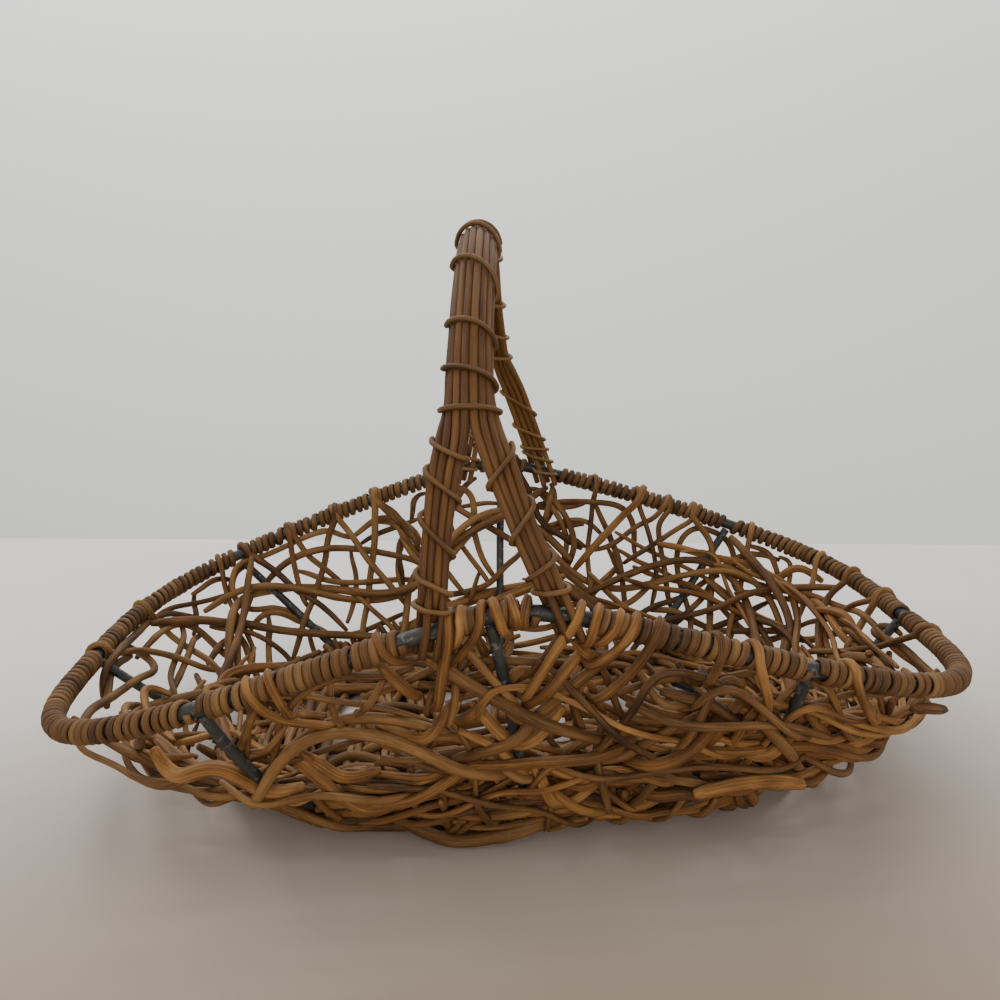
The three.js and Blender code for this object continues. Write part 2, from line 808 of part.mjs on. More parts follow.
function isWithin(a, b, reach) {
  return Math.abs(a.x - b.x) < reach && Math.abs(a.y - b.y) < reach && Math.abs(a.z - b.z) < reach;
}

// Pushes two lines apart until their surfaces are clear of each other
function pushApart(line, other, otherMoves) {
  let least = Infinity;
  const touching = line.radius + other.radius;
  const need = touching + vineSeat;
  const reach = need + line.longest + other.longest;
  for (let a = 0; a + 1 < line.points.length; a += 1) {
    const a0 = line.points[a];
    const a1 = line.points[a + 1];
    for (let b = 0; b + 1 < other.points.length; b += 1) {
      const b0 = other.points[b];
      const b1 = other.points[b + 1];
      if (isWithin(a0, b0, reach)) {
        const near = closest(a0, a1, b0, b1);
        least = Math.min(least, near.distance - touching);
        if (near.distance < need) {
          const push = (need - near.distance) * (otherMoves ? 0.5 : 1);
          shift(a0, near, push * (1 - near.onA));
          shift(a1, near, push * near.onA);
          if (otherMoves) {
            shift(b0, near, -push * (1 - near.onB));
            shift(b1, near, -push * near.onB);
          }
        }
      }
    }
  }
  return least;
}

function straighten(vine, stiffness) {
  for (let index = 1; index + 1 < vine.points.length; index += 1) {
    const middle = vine.points[index - 1].clone().add(vine.points[index + 1]).multiplyScalar(0.5);
    vine.points[index].lerp(middle, stiffness);
  }
}

function keepOffFloor(vine) {
  vine.points.forEach((point) => {
    point.z = Math.max(point.z, vine.radius + floorClear);
  });
}

function settle() {
  let least = Infinity;
  fixed.concat(vines).forEach((line) => {
    line.longest = longestStretch(line) + stoutDiameter;
  });
  for (let round = 0; round < settleRounds; round += 1) {
    least = Infinity;
    const stiffness = vineStiffnessShare * Math.max(0, 1 - round / (settleRounds * settleSoftShare));
    vines.forEach((vine, index) => {
      straighten(vine, stiffness);
      fixed.forEach((piece) => {
        least = Math.min(least, pushApart(vine, piece, false));
      });
      for (let later = index + 1; later < vines.length; later += 1) {
        least = Math.min(least, pushApart(vine, vines[later], true));
      }
      keepOffFloor(vine);
    });
  }
  return least;
}

interlace();
const leastVineGap = settle();
console.log(`${vines.length} vines settled, least gap ${leastVineGap.toFixed(2)} mm`);
vines.forEach((vine) => {
  const strand = sweep(vine.points, vine.outwards, roundSection(vine.radius, vineSides));
  addPiece(weave, vine.name, strand, vineFinish);
});

export default basket;
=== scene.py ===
# %% [markdown]
# # A grapevine flower basket
# A flower basket like this one starts as a frame of welded rods. The rim is wound with split
# vine, single vines are pushed in and out between the rods until they hold each other, and a
# carrying arch of eight canes is bound on with thinner cane. We start from the packed
# construction model, which gives every strand its real place.

# %% Load the imported basket
import itertools
import math
import bmesh
import bpy
import numpy as np
from mathutils import Matrix, Vector, kdtree


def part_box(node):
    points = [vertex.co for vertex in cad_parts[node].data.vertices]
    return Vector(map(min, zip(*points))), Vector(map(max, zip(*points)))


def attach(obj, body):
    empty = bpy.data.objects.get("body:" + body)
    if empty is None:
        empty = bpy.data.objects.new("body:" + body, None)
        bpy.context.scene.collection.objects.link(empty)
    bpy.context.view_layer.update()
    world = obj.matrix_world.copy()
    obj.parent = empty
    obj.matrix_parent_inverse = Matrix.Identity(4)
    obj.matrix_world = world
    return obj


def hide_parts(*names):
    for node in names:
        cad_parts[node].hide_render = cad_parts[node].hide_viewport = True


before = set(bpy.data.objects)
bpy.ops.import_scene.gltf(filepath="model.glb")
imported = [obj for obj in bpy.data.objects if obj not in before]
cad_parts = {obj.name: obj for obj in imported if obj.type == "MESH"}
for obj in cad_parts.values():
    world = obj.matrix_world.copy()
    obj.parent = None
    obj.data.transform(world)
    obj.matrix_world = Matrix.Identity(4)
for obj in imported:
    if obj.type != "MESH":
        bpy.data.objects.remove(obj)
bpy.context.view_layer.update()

MM = 0.001

# %% [markdown]
# ## The camera
# The photograph was taken from in front and a little above, with a phone held slightly askew.
# The camera comes first because some of the vines below are traced from the photograph: a
# pixel is turned into a line of sight, and the vine is laid where that line meets the wall.

# %% Set up the camera
PICTURE_SIDE = 1000
SENSOR = 36.0
LENS = 35.7
CAMERA_PLACE = Vector((-23.4, -609.1, 311.6)) * MM
CAMERA_HEADING = math.radians(-2.2)
CAMERA_TILT = math.radians(90 - 13.78)
CAMERA_ROLL = math.radians(-2.18)

camera_data = bpy.data.cameras.new("camera")
camera_data.lens = LENS
camera_data.sensor_width = SENSOR
camera = bpy.data.objects.new("camera", camera_data)
bpy.context.scene.collection.objects.link(camera)
camera_turn = (
    Matrix.Rotation(CAMERA_HEADING, 3, "Z")
    @ Matrix.Rotation(CAMERA_TILT, 3, "X")
    @ Matrix.Rotation(CAMERA_ROLL, 3, "Z")
)
camera.matrix_world = Matrix.Translation(CAMERA_PLACE) @ camera_turn.to_4x4()
bpy.context.scene.camera = camera


def to_pixels(points):
    """Where points of the basket show in the photograph, as columns and rows of pixels."""
    seen = (points - np.array(CAMERA_PLACE)) @ np.array(camera_turn)
    focal = LENS / SENSOR * PICTURE_SIDE
    columns = PICTURE_SIDE / 2 - focal * seen[:, 0] / seen[:, 2]
    rows = PICTURE_SIDE / 2 + focal * seen[:, 1] / seen[:, 2]
    return np.stack([columns, rows], axis=1)


print("crown of the arch shows at", to_pixels(np.array([[0, 0, 0.331]])).round())

# %% [markdown]
# ## The wall that the vines follow
# Every vine lies near one curved surface: the wall between the foot ring and the rim. If we
# can name a place on it by two numbers, the share of the way round and the rise from foot to
# rim, a vine is a short list of such pairs. The rim is a blunt oval, a superellipse, that
# stands high over the middle and dips to both tips. The shares are measured along the rods.

# %% Describe the wall
RIM_ROD_RADIUS = 4 * MM
FOOT_ROD_RADIUS = 3 * MM
RIM_POWER = 3.4
RIM_MIDDLE_HEIGHT = 150 * MM
RIM_TIP_HEIGHT = 62 * MM
RIM_PEAK_ROUNDING = 26 * MM
WALL_BELLY = 12 * MM
BELLY_LEAN = 0.45
BELLY_PLACE = 0.89
RING_SAMPLES = 2400

rim_half_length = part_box("rim_hoop")[1].x - RIM_ROD_RADIUS
rim_half_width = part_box("rim_hoop")[1].y - RIM_ROD_RADIUS
foot_half_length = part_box("foot_ring")[1].x - FOOT_ROD_RADIUS
foot_half_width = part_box("foot_ring")[1].y - FOOT_ROD_RADIUS
foot_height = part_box("foot_ring")[1].z / 2


def oval(half_length, half_width, power):
    """A superellipse round the basket, counted from the right tip over the back."""
    angle = np.linspace(0, 2 * np.pi, RING_SAMPLES + 1)
    across, along = np.cos(angle), np.sin(angle)
    x = half_length * np.sign(across) * np.abs(across) ** (2 / power)
    y = half_width * np.sign(along) * np.abs(along) ** (2 / power)
    return x, y


def by_length(points):
    """The share of its whole length at which each point of a line lies."""
    steps = np.linalg.norm(np.diff(points, axis=0), axis=1)
    run = np.concatenate([[0], np.cumsum(steps)])
    return run / run[-1], run[-1]


def rim_height(x):
    slope = (RIM_MIDDLE_HEIGHT - RIM_TIP_HEIGHT) / rim_half_length
    return RIM_MIDDLE_HEIGHT - slope * (np.hypot(x, RIM_PEAK_ROUNDING) - RIM_PEAK_ROUNDING)


rim_x, rim_y = oval(rim_half_length, rim_half_width, RIM_POWER)
rim_points = np.stack([rim_x, rim_y, rim_height(rim_x)], axis=1)
rim_shares, rim_length = by_length(rim_points)
foot_x, foot_y = oval(foot_half_length, foot_half_width, 2)
foot_points = np.stack([foot_x, foot_y, np.full_like(foot_x, foot_height)], axis=1)
foot_shares, foot_length = by_length(foot_points)


def unit(vectors):
    return vectors / np.linalg.norm(vectors, axis=-1, keepdims=True)


def on_ring(shares, points, share):
    share = np.mod(share, 1)
    return np.stack([np.interp(share, shares, points[:, axis]) for axis in range(3)], axis=-1)


def on_rim(share):
    return on_ring(rim_shares, rim_points, share)


def along_rim(share):
    nudge = 1 / RING_SAMPLES
    return unit(on_rim(share + nudge) - on_rim(share - nudge))


def wall_place(around, rise, out=0.0):
    """A point of the wall and the direction outwards there."""
    around, rise, out = np.broadcast_arrays(around, rise, out)
    foot = on_ring(foot_shares, foot_points, around)
    climb = on_rim(around) - foot
    outward = unit(np.cross(along_rim(around), climb))
    lean = BELLY_LEAN * np.cos(2 * np.pi * (around - BELLY_PLACE))
    belly = WALL_BELLY * (1 + lean) * np.sin(np.pi * np.clip(rise, 0, 1))
    point = foot + climb * rise[..., None] + outward * (belly + out)[..., None]
    return point, outward


print(f"rim {rim_length:.3f} m round, foot ring {foot_length:.3f} m round")

# %% [markdown]
# ## One way to make every strand
# Vines, canes, bindings, rods and the rim wrap are all long thin bodies. Each one starts as a
# straight tube that is cut into rings of corners, and then every ring is carried to its place
# on the strand's route. That keeps the number of rings, the cross-section and the grain of
# each strand under control, which a plain curve with a round bevel doesn't. Two attributes go
# along. The grain says where a point lies round the strand and down it, so that the fibres of
# the wood follow every bend. The tone says how light the wood is there; on the far side of the
# arch it also carries painted light.

# %% Helpers for smooth routes
ROUTE_STEP = 3 * MM
CURVE_CUTS = 12


def smooth_route(points, step=ROUTE_STEP):
    """A Catmull-Rom curve through points, with even steps."""
    points = np.asarray(points, float)
    ends = np.concatenate([[2 * points[0] - points[1]], points, [2 * points[-1] - points[-2]]])
    a, b, c, d = ends[:-3], ends[1:-2], ends[2:-1], ends[3:]
    t = np.linspace(0, 1, CURVE_CUTS + 1)[:-1, None, None]
    curve = 0.5 * (
        2 * b + (c - a) * t + (2 * a - 5 * b + 4 * c - d) * t**2 + (3 * b - a - 3 * c + d) * t**3
    )
    curve = np.concatenate([curve.transpose(1, 0, 2).reshape(-1, points.shape[1]), points[-1:]])
    return even_route(curve, step)


def even_route(points, step=ROUTE_STEP):
    """The same line with its points at even steps."""
    shares, length = by_length(points)
    count = max(3, int(round(length / step)))
    wanted = np.linspace(0, 1, count + 1)
    return np.stack([np.interp(wanted, shares, axis) for axis in points.T], axis=1)


def centre_line(node):
    """The middle line of a construction strand, met ring by ring from one of its ends."""
    solid = bmesh.new()
    solid.from_mesh(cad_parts[node].data)
    bmesh.ops.remove_doubles(solid, verts=solid.verts, dist=1e-6)
    solid.verts.ensure_lookup_table()
    start = next(vert for vert in solid.verts if len(vert.link_edges) == 4)
    ring = {start}
    ring |= {v for v in neighbours(ring) if len(v.link_edges) != 6}
    ring |= {v for v in neighbours(ring) if len(v.link_edges) != 6}
    ring |= {v for v in neighbours(ring) if len(neighbours({v}) & ring) >= 3}
    seen = set(ring)
    middles = []
    while ring:
        middles.append(np.mean([vert.co for vert in ring], axis=0))
        ring = neighbours(ring) - seen
        seen |= ring
    solid.free()
    return np.array(middles)


def neighbours(verts):
    return {edge.other_vert(vert) for vert in verts for edge in vert.link_edges}


print("one wave vine has", len(centre_line("vine_wave_1")), "rings")

# %% [markdown]
# Now the tube itself: a cone with two equal radii, whose long edges are cut into as many
# rings as the route has points. Tubes of the same length are made only once.

# %% Make straight tubes and carry them to their routes
TUBES = {}


def straight_tube(rings, corners):
    """A closed straight tube with a ring of corners at every whole number of Z."""
    if (rings, corners) not in TUBES:
        solid = bmesh.new()
        bmesh.ops.create_cone(
            solid, cap_ends=True, segments=corners, radius1=1, radius2=1, depth=rings - 1
        )
        long_edges = [edge for edge in solid.edges if edge.verts[0].co.z != edge.verts[1].co.z]
        bmesh.ops.subdivide_edges(solid, edges=long_edges, cuts=rings - 2, use_grid_fill=True)
        bmesh.ops.translate(solid, verts=solid.verts, vec=(0, 0, (rings - 1) / 2))
        TUBES[rings, corners] = bpy.data.meshes.new("straight_tube")
        solid.to_mesh(TUBES[rings, corners])
        solid.free()
    return TUBES[rings, corners]


def coordinates(mesh):
    flat = np.empty(len(mesh.vertices) * 3)
    mesh.vertices.foreach_get("co", flat)
    return flat.reshape(-1, 3)


def strand(route, radius, corners=10, **more):
    """A strand to be made: its route, radii, and what differs from a plain round one."""
    radius = np.broadcast_to(radius, len(route))
    return {"route": route, "radius": radius, "corners": corners, **more}


def turning_frames(route, up=None):
    """Two directions across the route, which turn no more than the route does."""
    tangent = unit(np.gradient(route, axis=0))
    if up is not None:
        normal = unit(up - tangent * np.sum(up * tangent, axis=1, keepdims=True))
        return normal, np.cross(tangent, normal)
    across = np.cross(tangent[0], np.eye(3)[np.argmin(np.abs(tangent[0]))])
    normal = np.empty_like(tangent)
    for place, direction in enumerate(tangent):
        across = across - direction * (across @ direction)
        across /= np.linalg.norm(across)
        normal[place] = across
    return normal, np.cross(tangent, normal)


def lay_tube(made):
    """Where a strand's corners go, with the grain and the tone of each."""
    route, radius = made["route"], made["radius"]
    tube = coordinates(straight_tube(len(route), made["corners"]))
    ring = np.rint(tube[:, 2]).astype(int)
    angle = np.arctan2(tube[:, 1], tube[:, 0])
    normal, side = turning_frames(route, made.get("up"))
    run = np.concatenate([[0], np.cumsum(np.linalg.norm(np.diff(route, axis=0), axis=1))])
    size = radius[ring]
    for ridges, depth, twist in made.get("ridges", ()):
        size = size * (1 + depth * np.cos(ridges * angle + twist * run[ring]))
    thick, wide = made.get("thick", 1.0) * np.cos(angle), np.sin(angle)
    offset = thick[:, None] * normal[ring] + wide[:, None] * side[ring]
    places = route[ring] + size[:, None] * offset
    round_strand = np.stack([np.cos(angle), np.sin(angle)]) * radius[ring]
    grain = np.column_stack([*round_strand, run[ring] + made["seed"]])
    tone = np.broadcast_to(made["tone"], len(route))[ring]
    return places, grain, tone


def make_piece(name, strands, finish, nodes=()):
    """One object of one or more strands and finish given."""
    solid = bmesh.new()
    for each in strands:
        solid.from_mesh(straight_tube(len(each["route"]), each["corners"]))
    mesh = bpy.data.meshes.new(name)
    solid.to_mesh(mesh)
    solid.free()
    places, grain, tone = (np.concatenate(part) for part in zip(*map(lay_tube, strands)))
    mesh.vertices.foreach_set("co", places.ravel())
    mesh.attributes.new("grain", "FLOAT_VECTOR", "POINT").data.foreach_set("vector", grain.ravel())
    mesh.attributes.new("tone", "FLOAT", "POINT").data.foreach_set("value", tone)
    mesh.shade_smooth()
    mesh.update()
    piece = bpy.data.objects.new(name, mesh)
    bpy.context.scene.collection.objects.link(piece)
    mesh.materials.append(finish)
    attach(piece, "root")
    if nodes:
        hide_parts(*nodes)
    return piece


print("a tube of 3 rings has", len(straight_tube(3, 10).vertices), "corners")

# %% [markdown]
# ## Finishes
# Vine, cane and split vine are all wood, seen at a distance where its fibres show as streaks
# down the strand. So every wood finish starts from the strand's own grain attribute: noise
# that is stretched along the strand gives fibres, coarser noise gives stains, and the tone
# attribute makes one strand lighter or redder than the next, and carries painted light on the
# arch's far side. A little of the same noise goes into the bump, so that light catches on the
# fibres. First come a few helpers that add nodes.

# %% Helpers for finishes
def add_node(tree, kind, **settings):
    node = tree.nodes.new(kind)
    for key, value in settings.items():
        setattr(node, key, value)
    return node


def stretched_noise(tree, source, across, along, detail=3.0, roughness=0.6):
    """Noise whose cells are narrow across the strand and long down it."""
    mapping = add_node(tree, "ShaderNodeMapping")
    mapping.inputs["Scale"].default_value = (across, across, along)
    noise = add_node(tree, "ShaderNodeTexNoise")
    noise.inputs["Scale"].default_value = 1.0
    noise.inputs["Detail"].default_value = detail
    noise.inputs["Roughness"].default_value = roughness
    tree.links.new(source, mapping.inputs["Vector"])
    tree.links.new(mapping.outputs["Vector"], noise.inputs["Vector"])
    return noise.outputs["Fac"]


def colour_steps(tree, factor, steps):
    """Colours at places of a scale from none to one, picked by a factor."""
    node = add_node(tree, "ShaderNodeValToRGB")
    elements = node.color_ramp.elements
    while len(elements) < len(steps):
        elements.new(0.5)
    for element, (place, colour) in zip(elements, steps):
        element.position = place
        element.color = (*colour, 1)
    tree.links.new(factor, node.inputs["Fac"])
    return node.outputs["Color"]


def feed(tree, sockets, values):
    """Links or sets each socket, whichever its value asks for."""
    for socket, value in zip(sockets, values):
        if isinstance(value, bpy.types.NodeSocket):
            tree.links.new(value, socket)
        else:
            socket.default_value = value


def mix_colours(tree, kind, factor, first, second):
    mix = add_node(tree, "ShaderNodeMix", data_type="RGBA", blend_type=kind)
    feed(tree, (mix.inputs[0], mix.inputs[6], mix.inputs[7]), (factor, first, second))
    return mix.outputs[2]


def arithmetic(tree, kind, *values):
    node = add_node(tree, "ShaderNodeMath", operation=kind)
    feed(tree, node.inputs, values)
    return node.outputs[0]


def raised(tree, shader, height, strength, distance):
    """Bumps on a finish, as high as a factor says."""
    bumps = add_node(tree, "ShaderNodeBump")
    bumps.inputs["Strength"].default_value = strength
    bumps.inputs["Distance"].default_value = distance
    tree.links.new(height, bumps.inputs["Height"])
    tree.links.new(bumps.outputs["Normal"], shader.inputs["Normal"])


def new_finish(name):
    finish = bpy.data.materials.new(name)
    finish.use_nodes = True
    return finish, finish.node_tree, finish.node_tree.nodes["Principled BSDF"]


print("helpers for noise, colours, sums and bumps")

# %% Wood finishes
STAIN_NOISE = (260.0, 34.0, 3.0)
CLOUD_NOISE = (22.0, 22.0, 2.0)
GRAIN_SHARES = (0.55, 0.2, 0.45)
TONE_SHARE, TONE_START = 0.36, -0.3
WOOD_STEPS = (0.26, 0.47, 0.7)
GREYED = ((0.35, (0.72, 0.7, 0.68)), (0.65, (1.0, 1.0, 1.0)))
GREY_SHARE = 0.55
GRAIN_HEIGHT = 0.6 * MM


def wood_finish(name, colours, bump, roughness, fibres):
    """Wood with fibres down the strand. The colours go from dark over middle to light."""
    finish, tree, shader = new_finish(name)
    grain = add_node(tree, "ShaderNodeAttribute", attribute_name="grain").outputs["Vector"]
    tone = add_node(tree, "ShaderNodeAttribute", attribute_name="tone").outputs["Fac"]
    place = add_node(tree, "ShaderNodeTexCoord").outputs["Object"]
    fibre = stretched_noise(tree, grain, *fibres)
    fine = stretched_noise(tree, grain, fibres[0] * 2.2, fibres[1] * 2.6, 2.0)
    stain = stretched_noise(tree, grain, *STAIN_NOISE)
    mixed = arithmetic(tree, "MULTIPLY_ADD", tone, TONE_SHARE, TONE_START)
    for noise, share in zip((fibre, fine, stain), GRAIN_SHARES):
        mixed = arithmetic(tree, "MULTIPLY_ADD", noise, share, mixed)
    colour = colour_steps(tree, mixed, tuple(zip(WOOD_STEPS, colours)))
    cloud = colour_steps(tree, stretched_noise(tree, place, *CLOUD_NOISE), GREYED)
    greyed = mix_colours(tree, "MULTIPLY", GREY_SHARE, colour, cloud)
    tree.links.new(greyed, shader.inputs["Base Color"])
    rough = arithmetic(tree, "MULTIPLY_ADD", fibre, -0.2, roughness + 0.1)
    tree.links.new(rough, shader.inputs["Roughness"])
    shader.inputs["Specular IOR Level"].default_value = 0.35
    raised(tree, shader, mixed, bump, GRAIN_HEIGHT)
    return finish


VINE = wood_finish(
    "vine_wood",
    ((0.03, 0.0105, 0.0016), (0.132, 0.058, 0.0135), (0.26, 0.138, 0.043)),
    0.35, 0.72, (2600.0, 60.0),
)
THICK_VINE = wood_finish(
    "thick_vine_wood",
    ((0.036, 0.012, 0.0018), (0.17, 0.071, 0.0145), (0.34, 0.172, 0.05)),
    0.8, 0.72, (1500.0, 16.0),
)
WOUND_VINE = wood_finish(
    "wound_split_vine",
    ((0.026, 0.0095, 0.0022), (0.112, 0.05, 0.0125), (0.215, 0.118, 0.04)),
    0.5, 0.72, (2000.0, 30.0),
)
ROUND_CANE = wood_finish(
    "round_cane",
    ((0.026, 0.0095, 0.0013), (0.1, 0.039, 0.0076), (0.17, 0.08, 0.019)),
    0.22, 0.7, (1500.0, 14.0),
)
BINDING_CANE = wood_finish(
    "thin_round_cane",
    ((0.03, 0.012, 0.002), (0.108, 0.048, 0.011), (0.18, 0.095, 0.029)),
    0.25, 0.6, (1800.0, 24.0),
)
print("wood finishes:", [m.name for m in (VINE, THICK_VINE, WOUND_VINE, ROUND_CANE, BINDING_CANE)])

# %% [markdown]
# The rods were brushed with thin black paint long ago. It has gone dull and chipped, and the
# metal underneath is grey-green. Noise on the object's own coordinates places the chips.

# %% Painted steel
PAINT = ((0.35, (0.012, 0.013, 0.013)), (0.7, (0.045, 0.043, 0.038)))
CHIPPED = ((0.56, (0.0, 0.0, 0.0)), (0.62, (1.0, 1.0, 1.0)))
BARE_STEEL = (0.1, 0.105, 0.095, 1)
CHIP_DEPTH = 0.4 * MM


def painted_steel():
    """Dull black paint, chipped down to grey-green steel."""
    finish, tree, shader = new_finish("chipped_black_paint")
    place = add_node(tree, "ShaderNodeTexCoord").outputs["Object"]
    chips = stretched_noise(tree, place, 210.0, 210.0, 5.0, 0.7)
    dust = stretched_noise(tree, place, 60.0, 60.0, 3.0)
    paint = colour_steps(tree, dust, PAINT)
    bare = colour_steps(tree, chips, CHIPPED)
    colour = mix_colours(tree, "MIX", bare, paint, BARE_STEEL)
    tree.links.new(colour, shader.inputs["Base Color"])
    shader.inputs["Roughness"].default_value = 0.55
    shader.inputs["Metallic"].default_value = 0.25
    raised(tree, shader, chips, 0.3, CHIP_DEPTH)
    return finish


STEEL = painted_steel()
print("steel finish:", STEEL.name)

# %% [markdown]
# ## The rod frame
# The hoop, the foot ring and the ribs are steel rods. The construction model has them with
# few sides, so each is replaced by a smooth rod on the same middle line. A closed ring is a
# long rod whose ends meet, as the real one's do at its weld.

# %% Lay the rods
RIBS = ("right", "back_right", "back", "back_left", "left", "front_left", "front", "front_right")
RING_STEP = 4 * MM
HOOP_CORNERS, ROD_CORNERS = 16, 14


def rod(node, name, route, radius, corners):
    steel_rod = strand(route, radius, corners, seed=0.0, tone=0.5)
    make_piece(name, [steel_rod], STEEL, [node])


rod("rim_hoop", "hoop_rod", even_route(rim_points, RING_STEP), RIM_ROD_RADIUS, HOOP_CORNERS)
rod("foot_ring", "foot_rod", even_route(foot_points, RING_STEP), foot_height, ROD_CORNERS)
rib_routes = {place: smooth_route(centre_line("rib_" + place)) for place in RIBS}
for place, route in rib_routes.items():
    rod("rib_" + place, "rib_rod_" + place, route, FOOT_ROD_RADIUS, ROD_CORNERS)
print(len(RIBS) + 2, "rods laid")

# %% [markdown]
# ## The wound rim
# Split vine is wound round the hoop. The turns lie side by side in groups of two to six, and
# then a little dark rod shows before the next group. Each of the twelve windings runs between
# two ribs or legs, so each is a long helix of its own, flattened against the rod, whose turns
# differ a little in width, height and tone. From here on, chance comes from one seeded source,
# so that every run makes the same basket.

# %% Wind the rim
draw = np.random.default_rng(41)
BAND_PITCH = 5.3 * MM
BAND_HALF_WIDTH = 2.2 * MM
BAND_HALF_THICKNESS = 1.35 * MM
BAND_CORNERS = 10
TURN_POINTS = 16
TURNS_TOGETHER = (2, 7)
UNEVEN_PITCH = (0.96, 1.07)
GROUP_GAP = (0.8, 3.6)
LOOSENESS = (-0.15, 0.3)
UNEVEN_WIDTH = (0.88, 1.1)
TURN_TONE, TURN_TONE_SPREAD = 0.5, 0.2
GRAIN_STARTS = (0, 9)
RIB_NEARBY = 12 * MM
RIB_TO_WINDING = 3.6 * MM
WRAP_OUTSIDE = RIM_ROD_RADIUS + 2 * BAND_HALF_THICKNESS + 0.2 * MM


def rim_share_at(point):
    return rim_shares[np.argmin(np.linalg.norm(rim_points - point, axis=1))]


def round_rim(share, angle, reach):
    """A point round the rim's rod: 0 degrees is outwards, 90 degrees is up."""
    tangent = along_rim(share)
    outward = unit(np.cross(tangent, [0.0, 0.0, 1.0]))
    upward = np.cross(outward, tangent)
    radial = np.cos(angle)[..., None] * outward + np.sin(angle)[..., None] * upward
    return on_rim(share) + np.asarray(reach)[..., None] * radial, radial


def close_to_rib(share):
    """Moves the end of a winding up to the rib beside it, if there is one."""
    for route in rib_routes.values():
        rib_share = rim_share_at(route[np.argmax(route[:, 2])])
        gap = (share - rib_share + 0.5) % 1 - 0.5
        if abs(gap) * rim_length < RIB_NEARBY:
            return share - gap + math.copysign(RIB_TO_WINDING / rim_length, gap)
    return share


def winding(node):
    """The band that one construction winding stands for."""
    line = centre_line(node)
    first, last = sorted(close_to_rib(rim_share_at(end)) for end in (line[0], line[-1]))
    length = (last - first) * rim_length
    turn_places = [0.0]
    while turn_places[-1] < length:
        for _ in range(draw.integers(*TURNS_TOGETHER)):
            turn_places.append(turn_places[-1] + BAND_PITCH * draw.uniform(*UNEVEN_PITCH))
        turn_places[-1] += draw.uniform(*GROUP_GAP) * MM
    turn_places = np.array(turn_places) * length / turn_places[-1]
    count = len(turn_places) - 1
    turn = np.linspace(0, count, count * TURN_POINTS + 1)
    whole = np.arange(count + 1)
    share = first + np.interp(turn, whole, turn_places) / rim_length
    slack = np.interp(turn, whole, draw.uniform(*LOOSENESS, count + 1)) * MM
    reach = RIM_ROD_RADIUS + BAND_HALF_THICKNESS + slack
    route, radial = round_rim(share, 2 * np.pi * turn, reach)
    width = np.interp(turn, whole, draw.uniform(*UNEVEN_WIDTH, count + 1)) * BAND_HALF_WIDTH
    tones = draw.normal(TURN_TONE, TURN_TONE_SPREAD, count + 1)
    tone = np.interp(turn, whole, np.clip(tones, 0, 1))
    flatness = BAND_HALF_THICKNESS / BAND_HALF_WIDTH
    seed = draw.uniform(*GRAIN_STARTS)
    return strand(route, width, BAND_CORNERS, up=radial, thick=flatness, seed=seed, tone=tone)


band_turns = 0
for number in range(1, 13):
    band = winding(f"rim_wrap_{number}")
    band_turns += (len(band["route"]) - 1) // TURN_POINTS
    make_piece(f"wound_rim_{number}", [band], WOUND_VINE, [f"rim_wrap_{number}"])
print(band_turns, "turns wound round the rim")

# %% [markdown]
# ## Canes of the arch
# Eight round canes make the arch. They are smoother and redder than the vines, and nearly
# the same thickness all along. They follow the construction model's middle lines, rounded off
# between its rings. In the photograph the crown and the two near legs look a little narrower
# than in that model, so there the canes are drawn together towards the middle of their row.

# %% Helpers for canes and vines
TIP_LENGTH = 0.3
TIP_SIZE = 0.62


def node_radius(node, route):
    """The radius of a construction strand, from how far its corners stand off the route."""
    tree = kdtree.KDTree(len(route))
    for index, point in enumerate(route):
        tree.insert(point, index)
    tree.balance()
    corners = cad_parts[node].data.vertices
    return float(np.median([tree.find(corner.co)[2] for corner in corners]))


def uneven(length, knots, depth):
    """Slow random swelling down a strand, as factors near one at even places."""
    places = np.linspace(0, 1, knots)
    return np.interp(np.linspace(0, 1, length), places, 1 + depth * draw.uniform(-1, 1, knots))


def eased_ends(route, radius):
    """A strand's route and radii with its two ends rounded over."""
    first, last = unit(route[0] - route[1]), unit(route[-1] - route[-2])
    tip = TIP_LENGTH * radius[0]
    route = np.concatenate([[route[0] + first * tip], route, [route[-1] + last * tip]])
    radius = np.concatenate([[TIP_SIZE * radius[0]], radius, [TIP_SIZE * radius[-1]]])
    return route, radius


first_cane = node_radius("arch_cane_1", centre_line("arch_cane_1"))
print("a cane's corners stand", round(first_cane * 1000, 1), "mm off the middles of its rings")

# %% Find the middles of the crown and the near legs
PARTING_HEIGHT = 232 * MM
PARTING_FADE = 40 * MM
LEG_BOTTOM = 100 * MM
CROWN_AXIS_HEIGHT = 190 * MM
CROWN_MARGIN = 5 * MM
CROWN_FROM, CROWN_TO = 0.03, 0.48


def at_heights(line, heights):
    """The places at which a line that climbs passes the given heights."""
    line = line[np.argsort(line[:, 2])]
    return np.stack([np.interp(heights, line[:, 2], axis) for axis in line.T], axis=1)


plain_canes = {f"arch_cane_{n}": smooth_route(centre_line(f"arch_cane_{n}")) for n in range(1, 9)}
leg_heights = np.linspace(LEG_BOTTOM, PARTING_HEIGHT, 60)
near_parts = [at_heights(line[line[:, 1] < 0], leg_heights) for line in plain_canes.values()]
near_parts.sort(key=lambda line: line[:, 0].mean())
near_legs = {"left": np.mean(near_parts[:4], axis=0), "right": np.mean(near_parts[4:], axis=0)}


def round_crown(line):
    """The angle about the crown's axis, in turns: 0.25 is straight up and 0.5 is the front."""
    return np.arctan2(line[:, 2] - CROWN_AXIS_HEIGHT, line[:, 1]) / (2 * np.pi)


def at_turns(line, turns):
    """The places at which a line over the crown passes the given angles about its axis."""
    line = line[line[:, 2] > CROWN_AXIS_HEIGHT + CROWN_MARGIN]
    line = line[np.argsort(round_crown(line))]
    return np.stack([np.interp(turns, round_crown(line), axis) for axis in line.T], axis=1)


